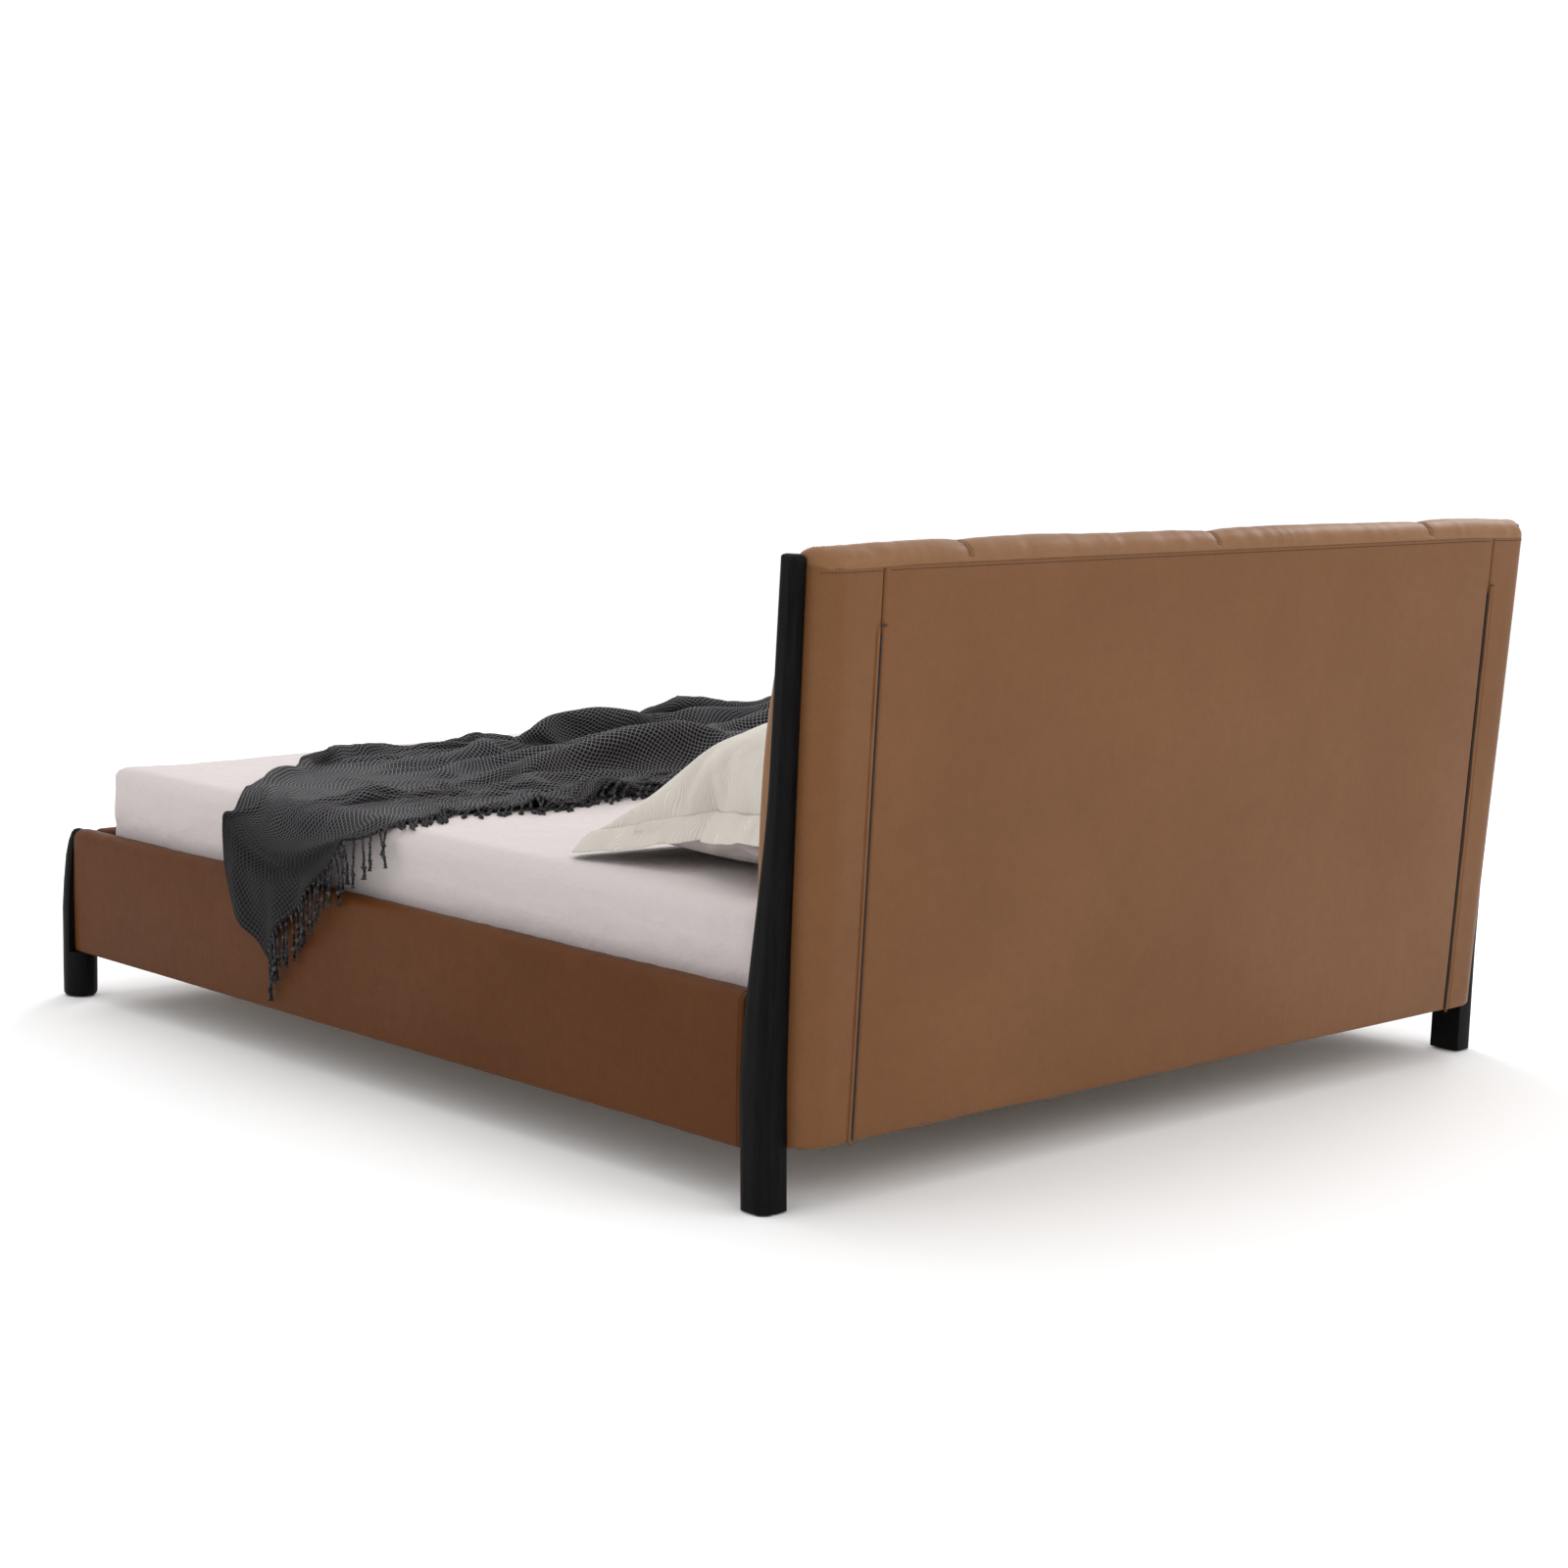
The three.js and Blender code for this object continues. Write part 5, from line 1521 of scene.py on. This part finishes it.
# a geometry tree with named sizes; its nodes come from one method
class PathTool:
    def __init__(self, name, sizes):
        self.tree = bpy.data.node_groups.new(name, "GeometryNodeTree")
        sockets = self.tree.interface
        sockets.new_socket("Geometry", in_out="INPUT", socket_type="NodeSocketGeometry")
        sockets.new_socket("Geometry", in_out="OUTPUT", socket_type="NodeSocketGeometry")
        self.keys = {}
        for label, value in sizes.items():
            kind = "NodeSocketInt" if isinstance(value, int) else "NodeSocketFloat"
            made = sockets.new_socket(label, in_out="INPUT", socket_type=kind)
            made.default_value = value
            self.keys[label] = made.identifier
        self.source = self.tree.nodes.new("NodeGroupInput")

    def size(self, label):
        return next(s for s in self.source.outputs if s.identifier == self.keys[label])

    def node(self, kind, settings=None, sockets=None, out=0):
        return addNode(self.tree, kind, settings, sockets, out)

    def end(self, shape, finish):
        whole = self.node("GeometryNodeRealizeInstances", None, {"Geometry": shape})
        painted = self.node("GeometryNodeSetMaterial", None, {"Geometry": whole, "Material": finish})
        out = self.tree.nodes.new("NodeGroupOutput")
        self.tree.links.new(painted, out.inputs[0])
        return self


# runs a tool along paths of points and leaves a plain mesh
def alongPaths(name, paths, tool, sizes=None):
    points, edges = [], []
    for path in paths:
        first = len(points)
        points += [tuple(float(v) for v in p) for p in path]
        edges += [(first + i, first + i + 1) for i in range(len(path) - 1)]
    mesh = bpy.data.meshes.new(name)
    mesh.from_pydata(points, edges, [])
    piece = bpy.data.objects.new(name, mesh)
    scene.collection.objects.link(piece)
    maker = piece.modifiers.new("maker", "NODES")
    maker.node_group = tool.tree
    for label, value in (sizes or {}).items():
        maker[tool.keys[label]] = value
    settle(piece)
    piece.data.shade_smooth()
    return piece


# short raised stitches, end to end along a seam
def stitchTool(finish):
    tool = PathTool("stitch_row", {"Pitch": 0.0046, "Length": 0.0030, "Thickness": 0.0009})
    line = tool.node("GeometryNodeMeshToCurve", None, {"Mesh": tool.source.outputs[0]})
    pitch = {"Curve": line, "Length": tool.size("Pitch")}
    spots = tool.node("GeometryNodeResampleCurve", {"mode": "LENGTH"}, pitch)
    way = tool.node("GeometryNodeInputTangent")
    turn = tool.node("FunctionNodeAlignRotationToVector", {"axis": "X"}, {"Vector": way})
    bead = tool.node("GeometryNodeMeshUVSphere", None, {"Segments": 6, "Rings": 4, "Radius": 0.5})
    size = tool.node("ShaderNodeCombineXYZ", None,
                     {"X": tool.size("Length"), "Y": tool.size("Thickness"), "Z": tool.size("Thickness")})
    row = tool.node("GeometryNodeInstanceOnPoints", None,
                    {"Points": spots, "Instance": bead, "Rotation": turn, "Scale": size})
    return tool.end(row, finish)


# twisted cord that thickens to a knot and opens in a tuft
def cordTool(finish):
    tool = PathTool("fringe_cord", {"Radius": 0.0047, "Turns": 5.0, "Knot": 2.1, "Seed": 7})
    line = tool.node("GeometryNodeMeshToCurve", None, {"Mesh": tool.source.outputs[0]})
    fine = tool.node("GeometryNodeResampleCurve", {"mode": "COUNT"}, {"Curve": line, "Count": 13})
    along = tool.node("GeometryNodeSplineParameter", None, None, out="Factor")
    swell = tool.node("ShaderNodeFloatCurve", None, {"Value": along})
    bulge = swell.node.mapping.curves[0]
    for place, height in ((0.0, 0.44), (0.66, 0.38), (0.72, 0.42), (0.78, 0.76), (0.84, 0.40), (1.0, 0.66)):
        spot = bulge.points.new(place, height) if 0 < place < 1 else bulge.points[0 if place == 0 else -1]
        spot.location = (place, height)
    swell.node.mapping.update()
    knot = tool.node("ShaderNodeMath", {"operation": "MULTIPLY"}, {0: swell, 1: tool.size("Knot")})
    uneven = tool.node("FunctionNodeRandomValue", {"data_type": "FLOAT"},
                       {"Min_001": 0.8, "Max_001": 1.25, "Seed": tool.size("Seed")}, out="Value_001")
    wide = tool.node("ShaderNodeMath", {"operation": "MULTIPLY"}, {0: knot, 1: uneven})
    shaped = tool.node("GeometryNodeSetCurveRadius", None, {"Curve": fine, "Radius": wide})
    spin = tool.node("ShaderNodeMath", {"operation": "MULTIPLY"}, {0: along, 1: tool.size("Turns")})
    angle = tool.node("ShaderNodeMath", {"operation": "MULTIPLY"}, {0: spin, 1: 2 * math.pi})
    twisted = tool.node("GeometryNodeSetCurveTilt", None, {"Curve": shaped, "Tilt": angle})
    inner = tool.node("ShaderNodeMath", {"operation": "MULTIPLY"}, {0: tool.size("Radius"), 1: 0.55})
    star = {"Points": 3, "Inner Radius": inner, "Outer Radius": tool.size("Radius")}
    outline = tool.node("GeometryNodeCurveStar", None, star, out="Curve")
    swept = {"Curve": twisted, "Profile Curve": outline, "Fill Caps": True}
    skin = tool.node("GeometryNodeCurveToMesh", None, swept)
    if "Scale" in skin.node.inputs:
        tool.tree.links.new(wide, skin.node.inputs["Scale"])
    return tool.end(skin, finish)


fringePlan = dict(
    pitch=0.0158,
    length=0.082,
    spread=0.35,
    fall=2.2,
    lie=0.5,
    steps=7,
    tuck=0.006,
)


# paths of the fringe cords: out from the edge, then down onto what is under them
def fringePaths(edge, inner, seed):
    plan = fringePlan
    run = pathRun(edge)
    count = int(run[-1] / plan["pitch"])
    marks = np.linspace(0.004, run[-1] - 0.004, count)
    roots, back = alongPath(edge, run, marks), alongPath(inner, run, marks)
    side = sheetHigh.x + 0.010
    railOut = railHigh.x + 0.0095
    paths = []
    for i, (root, from_) in enumerate(zip(roots, back)):
        way = unit(root - from_)
        jitter = np.array([softNoise(i * 1.7, k, 0, seed) for k in range(3)], float)
        way = way + jitter * plan["spread"]
        hanging = root[0] > side - 0.012 and root[2] < sheetTop - 0.01
        length = plan["length"] * (1 + 0.18 * float(softNoise(i * 2.3, 5, 0, seed)))
        drop = plan["fall"] if hanging else plan["lie"]
        steps = plan["steps"]
        point = root.copy()
        path = [root - unit(root - from_) * plan["tuck"]]
        for k in range(steps):
            way = unit(way) + np.array([0, 0, -drop * (0.35 + 0.5 * k / steps)])
            way += 0.10 * np.array([softNoise(i, k * 0.9, j, seed + 2) for j in range(3)], float)
            way[2] = min(way[2], 0)
            point = point + way / np.linalg.norm(way) * length / steps
            if point[0] < side and point[2] > sheetTop - 0.06:
                point[2] = max(point[2], sheetTop + 0.0055)
            elif point[2] < railHigh.z + 0.012:
                point[0] = max(point[0], railOut)
            path.append(point.copy())
        paths.append(path)
    return paths


def makeThrow():
    plan = throwPlan
    blanket, rows, columns = throwPiece()
    points = meshPoints(blanket)
    # one subdivision keeps the first grid's points first and in order
    grid = points[:rows * columns].reshape(rows, columns, 3)
    tool = cordTool(finishes["yarn"])
    nearFringe = alongPaths("throw_fringe_near", fringePaths(grid[0], grid[2], 111), tool)
    farFringe = alongPaths("throw_fringe_far", fringePaths(grid[-1], grid[-3], 112), tool, {"Seed": 8})
    wallThickness(blanket, plan["thickness"], offset=0.0)
    paint(blanket, finishes["waffle"])
    setPiece(blanket, "throw_piece", "grey_wool", "throw")
    setPiece(nearFringe, "throw_piece", "grey_wool")
    setPiece(farFringe, "throw_piece", "grey_wool")


makeThrow()
print("throw draped")


seamPlan = dict(
    backRowBelow=0.0085,
    channelRows=0.0055,
    lift=0.0004,
    tackHeight=0.9435,
)


# where straight lines meet a piece, lifted a little off it
def onSurface(piece, starts, directions, lift):
    tree = BVHTree.FromObject(piece, bpy.context.evaluated_depsgraph_get())
    found = []
    for start, direction in zip(starts, directions):
        hit = tree.ray_cast(Vector(start), Vector(direction))
        if hit[0] is not None:
            found.append(hit[0] + hit[1] * lift)
    return found


def seamStitches():
    plan = seamPlan
    tool = stitchTool(finishes["seam"])
    top = headPlan["seamHeight"]
    rows = []
    backs = ["headboard_back_hide", "headboard_side_hide_left", "headboard_side_hide_right"]
    spans = [(-0.808, 0.808), (-0.941, -0.817), (0.817, 0.941)]
    for piece, (x0, x1) in zip(backs, spans):
        xs = np.arange(x0, x1, 0.006)
        drops = [plan["backRowBelow"], 0.002]
        starts = [(x, backPlane + 0.4, top - drops[0] - drops[1] * float(smooth(0.7, 1, abs(x)))) for x in xs]
        rows.append(onSurface(bpy.data.objects[piece], starts, [(0, -1, 0)] * len(xs), plan["lift"]))
    alongPaths("back_seam_stitches", rows, tool, {"Pitch": 0.0052, "Length": 0.0036, "Thickness": 0.0016})
    front = bpy.data.objects["headboard_front_pad_hide"]
    outer = headPadProfile(headPadPlan)[0]
    way = np.gradient(outer, axis=0)
    way /= np.linalg.norm(way, axis=1)[:, None]
    rows = []
    for seam in headPadPlan["seams"]:
        for offset in (-plan["channelRows"], plan["channelRows"]):
            starts, directions = [], []
            for (y, z), (dy, dz) in list(zip(outer, way))[4:-2]:
                wide = (seam + offset) * (1 + float(splayAt(z)) / headPlan["halfWidth"])
                starts.append((wide, y - dz * 0.06, z + dy * 0.06))
                directions.append((0, dz, -dy))
            rows.append(onSurface(front, starts, directions, plan["lift"]))
    alongPaths("channel_stitches", rows, tool, {"Pitch": 0.0052, "Thickness": 0.0013})
    tacks = []
    for side in sides.values():
        for k in range(4):
            z = plan["tackHeight"] + k * 0.0011
            x = float(slitAt(z))
            y = float(headBackAt(z)) + 0.0048
            tacks.append([(side * (x - 0.0055 + i * 0.0018), y, z) for i in range(8)])
    alongPaths("slit_tacks", tacks, tool, {"Pitch": 0.0018, "Length": 0.0026, "Thickness": 0.0010})
    for name in ("back_seam_stitches", "channel_stitches", "slit_tacks"):
        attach(bpy.data.objects[name], "bed_frame")


seamStitches()
print("seams stitched")


flapPlan = dict(
    inner=0.0034,
    outer=0.0092,
    proud=0.0010,
    tongue=0.006,
)


# folded strip of hide that half covers each zip
def zipFlap(name, side):
    plan = flapPlan
    pad = bpy.data.objects[f"headboard_side_hide_{name}"]
    foot = headPlan["clearance"] - plan["tongue"]
    even = np.arange(foot + 0.008, 0.9415, 0.010)
    heights = np.concatenate([[foot, foot + 0.0015, foot + 0.004], even, [0.9425]])
    probe = np.maximum(heights, headPlan["clearance"] + 0.008)
    slit = slitAt(probe)
    starts = [(side * (x + plan["outer"] - 0.0005), backPlane + 0.4, z) for x, z in zip(slit, probe)]
    faceY = np.array([p[1] for p in onSurface(pad, starts, [(0, -1, 0)] * len(starts), 0)])
    faceY = np.convolve(np.pad(faceY, 2, mode="edge"), np.ones(5) / 5, mode="valid")
    rings = []
    for k, (z, x, y) in enumerate(zip(heights, slit, faceY)):
        narrow = min(1.0, max(0.25, (z - foot) / plan["tongue"]))
        sway = 0.0004 * float(softNoise(z * 16, 0, 0, 131 + side))
        top = y + plan["proud"] + sway
        x0, x1 = x + plan["inner"] + sway, x + plan["inner"] + (plan["outer"] - plan["inner"]) * narrow
        r = 0.0011
        section = [(x0, top - 0.0042)]
        bends = np.linspace(0, math.pi / 2, 5)
        section += [(x0 + r - r * math.cos(a), top - r + r * math.sin(a)) for a in bends]
        section += [((x0 + x1) / 2, top + 0.0003)]
        section += [(x1 - r + r * math.sin(a), top - r + r * math.cos(a)) for a in bends]
        section += [(x1, top - 0.0042)]
        rings.append([(side * a, b, z) for a, b in section])
    flap = loftPiece(f"zip_flap_{name}", rings)
    sharpen(flap, 60)
    paint(flap, finishes["back"])
    return setPiece(flap, "bed_frame", "back_leather")


zipPlan = dict(
    half=0.0021,
    sunk=0.0005,
    depth=0.004,
    topGap=0.014,
    footGap=0.003,
    teeth={"Pitch": 0.0030, "Length": 0.0016, "Thickness": 0.0022},
)


# dark tape with small teeth at the bottom of each slit
def zipTape(name, side):
    plan = zipPlan
    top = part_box(f"headboard_zip_{name}")[1].z
    heights = np.linspace(headPlan["clearance"] + plan["footGap"], top - plan["topGap"], 60)
    middles = slitAt(heights)
    rings, teeth = [], []
    for z, x in zip(heights, middles):
        y = float(headBackAt(z)) - plan["sunk"]
        low, high = x - plan["half"], x + plan["half"]
        section = [(low, y - plan["depth"]), (low, y - 0.0004), (low + 0.0005, y), (high - 0.0005, y)]
        section += [(high, y - 0.0004), (high, y - plan["depth"])]
        rings.append([(side * a, b, z) for a, b in section])
        teeth.append((side * x, y + 0.0003, z))
    tape = loftPiece(f"zip_tape_{name}", rings)
    sharpen(tape, 40)
    paint(tape, finishes["tape"])
    setPiece(tape, "bed_frame", "zip_tape", f"headboard_zip_{name}")
    row = alongPaths(f"zip_teeth_{name}", [teeth], stitchTool(finishes["nylon"]), plan["teeth"])
    setPiece(row, "bed_frame", "zip_tape")


for sideName, sideSign in sides.items():
    zipFlap(sideName, sideSign)
    zipTape(sideName, sideSign)
print("zips and flaps laid")


cameraPlan = dict(
    place=(4.2129, 4.5347, 1.3683),
    yaw=43.1551,
    pitch=8.0118,
    roll=1.1002,
    lens=70.97,
)


def placeCamera(plan):
    yaw, pitch, roll = (math.radians(plan[k]) for k in ("yaw", "pitch", "roll"))
    look = Vector((-math.sin(yaw) * math.cos(pitch), -math.cos(yaw) * math.cos(pitch), -math.sin(pitch)))
    level = look.cross(Vector((0, 0, 1))).normalized()
    upright = level.cross(look)
    right = math.cos(roll) * level + math.sin(roll) * upright
    up = -math.sin(roll) * level + math.cos(roll) * upright
    lens = bpy.data.cameras.new("camera")
    lens.lens = plan["lens"]
    lens.sensor_width = 36
    lens.clip_end = 100
    holder = bpy.data.objects.new("camera", lens)
    scene.collection.objects.link(holder)
    turn = Matrix((right, up, -look)).transposed().to_4x4()
    holder.matrix_world = Matrix.Translation(plan["place"]) @ turn
    scene.camera = holder


placeCamera(cameraPlan)


studioPlan = dict(
    sky=(1.0, 1.0, 1.0),
    skyStrength=1.06,
    floor=(0.955, 0.955, 0.955),
    lamps=[
        dict(name="top_lamp", place=(0.0, -0.4, 4.6), aim=(0, 0, 0),
             width=4.5, height=3.5, power=42),
        dict(name="back_lamp", place=(-1.6, 5.6, 3.4), aim=(0, 0.9, 0.6),
             width=4.0, height=2.5, power=52),
        dict(name="side_lamp", place=(5.6, -1.5, 2.2), aim=(0.5, 0, 0.4),
             width=2.5, height=2.0, power=14),
        dict(name="window_lamp", place=(-2.6, -3.4, 2.0), aim=(-0.3, -1.1, 0.5),
             width=1.6, height=1.2, power=75),
        dict(name="crown_lamp", place=(-2.3, 0.7, 2.3), aim=(-0.9, 1.0, 1.05),
             width=0.8, height=0.6, power=9),
    ],
)


def lightStudio(plan):
    sky = bpy.data.worlds.new("studio")
    sky.use_nodes = True
    sky.node_tree.nodes["Background"].inputs["Color"].default_value = (*plan["sky"], 1)
    sky.node_tree.nodes["Background"].inputs["Strength"].default_value = plan["skyStrength"]
    scene.world = sky
    for spec in plan["lamps"]:
        lamp = bpy.data.lights.new(spec["name"], "AREA")
        lamp.shape = "RECTANGLE"
        lamp.size = spec["width"]
        lamp.size_y = spec["height"]
        lamp.energy = spec["power"]
        holder = bpy.data.objects.new(spec["name"], lamp)
        scene.collection.objects.link(holder)
        holder.location = spec["place"]
        aim = Vector(spec["aim"]) - Vector(spec["place"])
        holder.rotation_euler = aim.to_track_quat("-Z", "Y").to_euler()
    paper = Finish("paper_floor")
    fibre = paper.noise(paper.place(), 14, detail=3)
    shade = paper.blend(fibre * 0.15, plan["floor"], scaled(plan["floor"], 0.98))
    corners = [(-30, -30, 0), (30, -30, 0), (30, 30, 0), (-30, 30, 0)]
    floor = meshPiece("studio_floor", corners, [(0, 1, 2, 3)])
    paint(floor, paper.finish(Base_Color=shade, Roughness=0.9 + fibre * 0.05))


lightStudio(studioPlan)
print("studio lit")
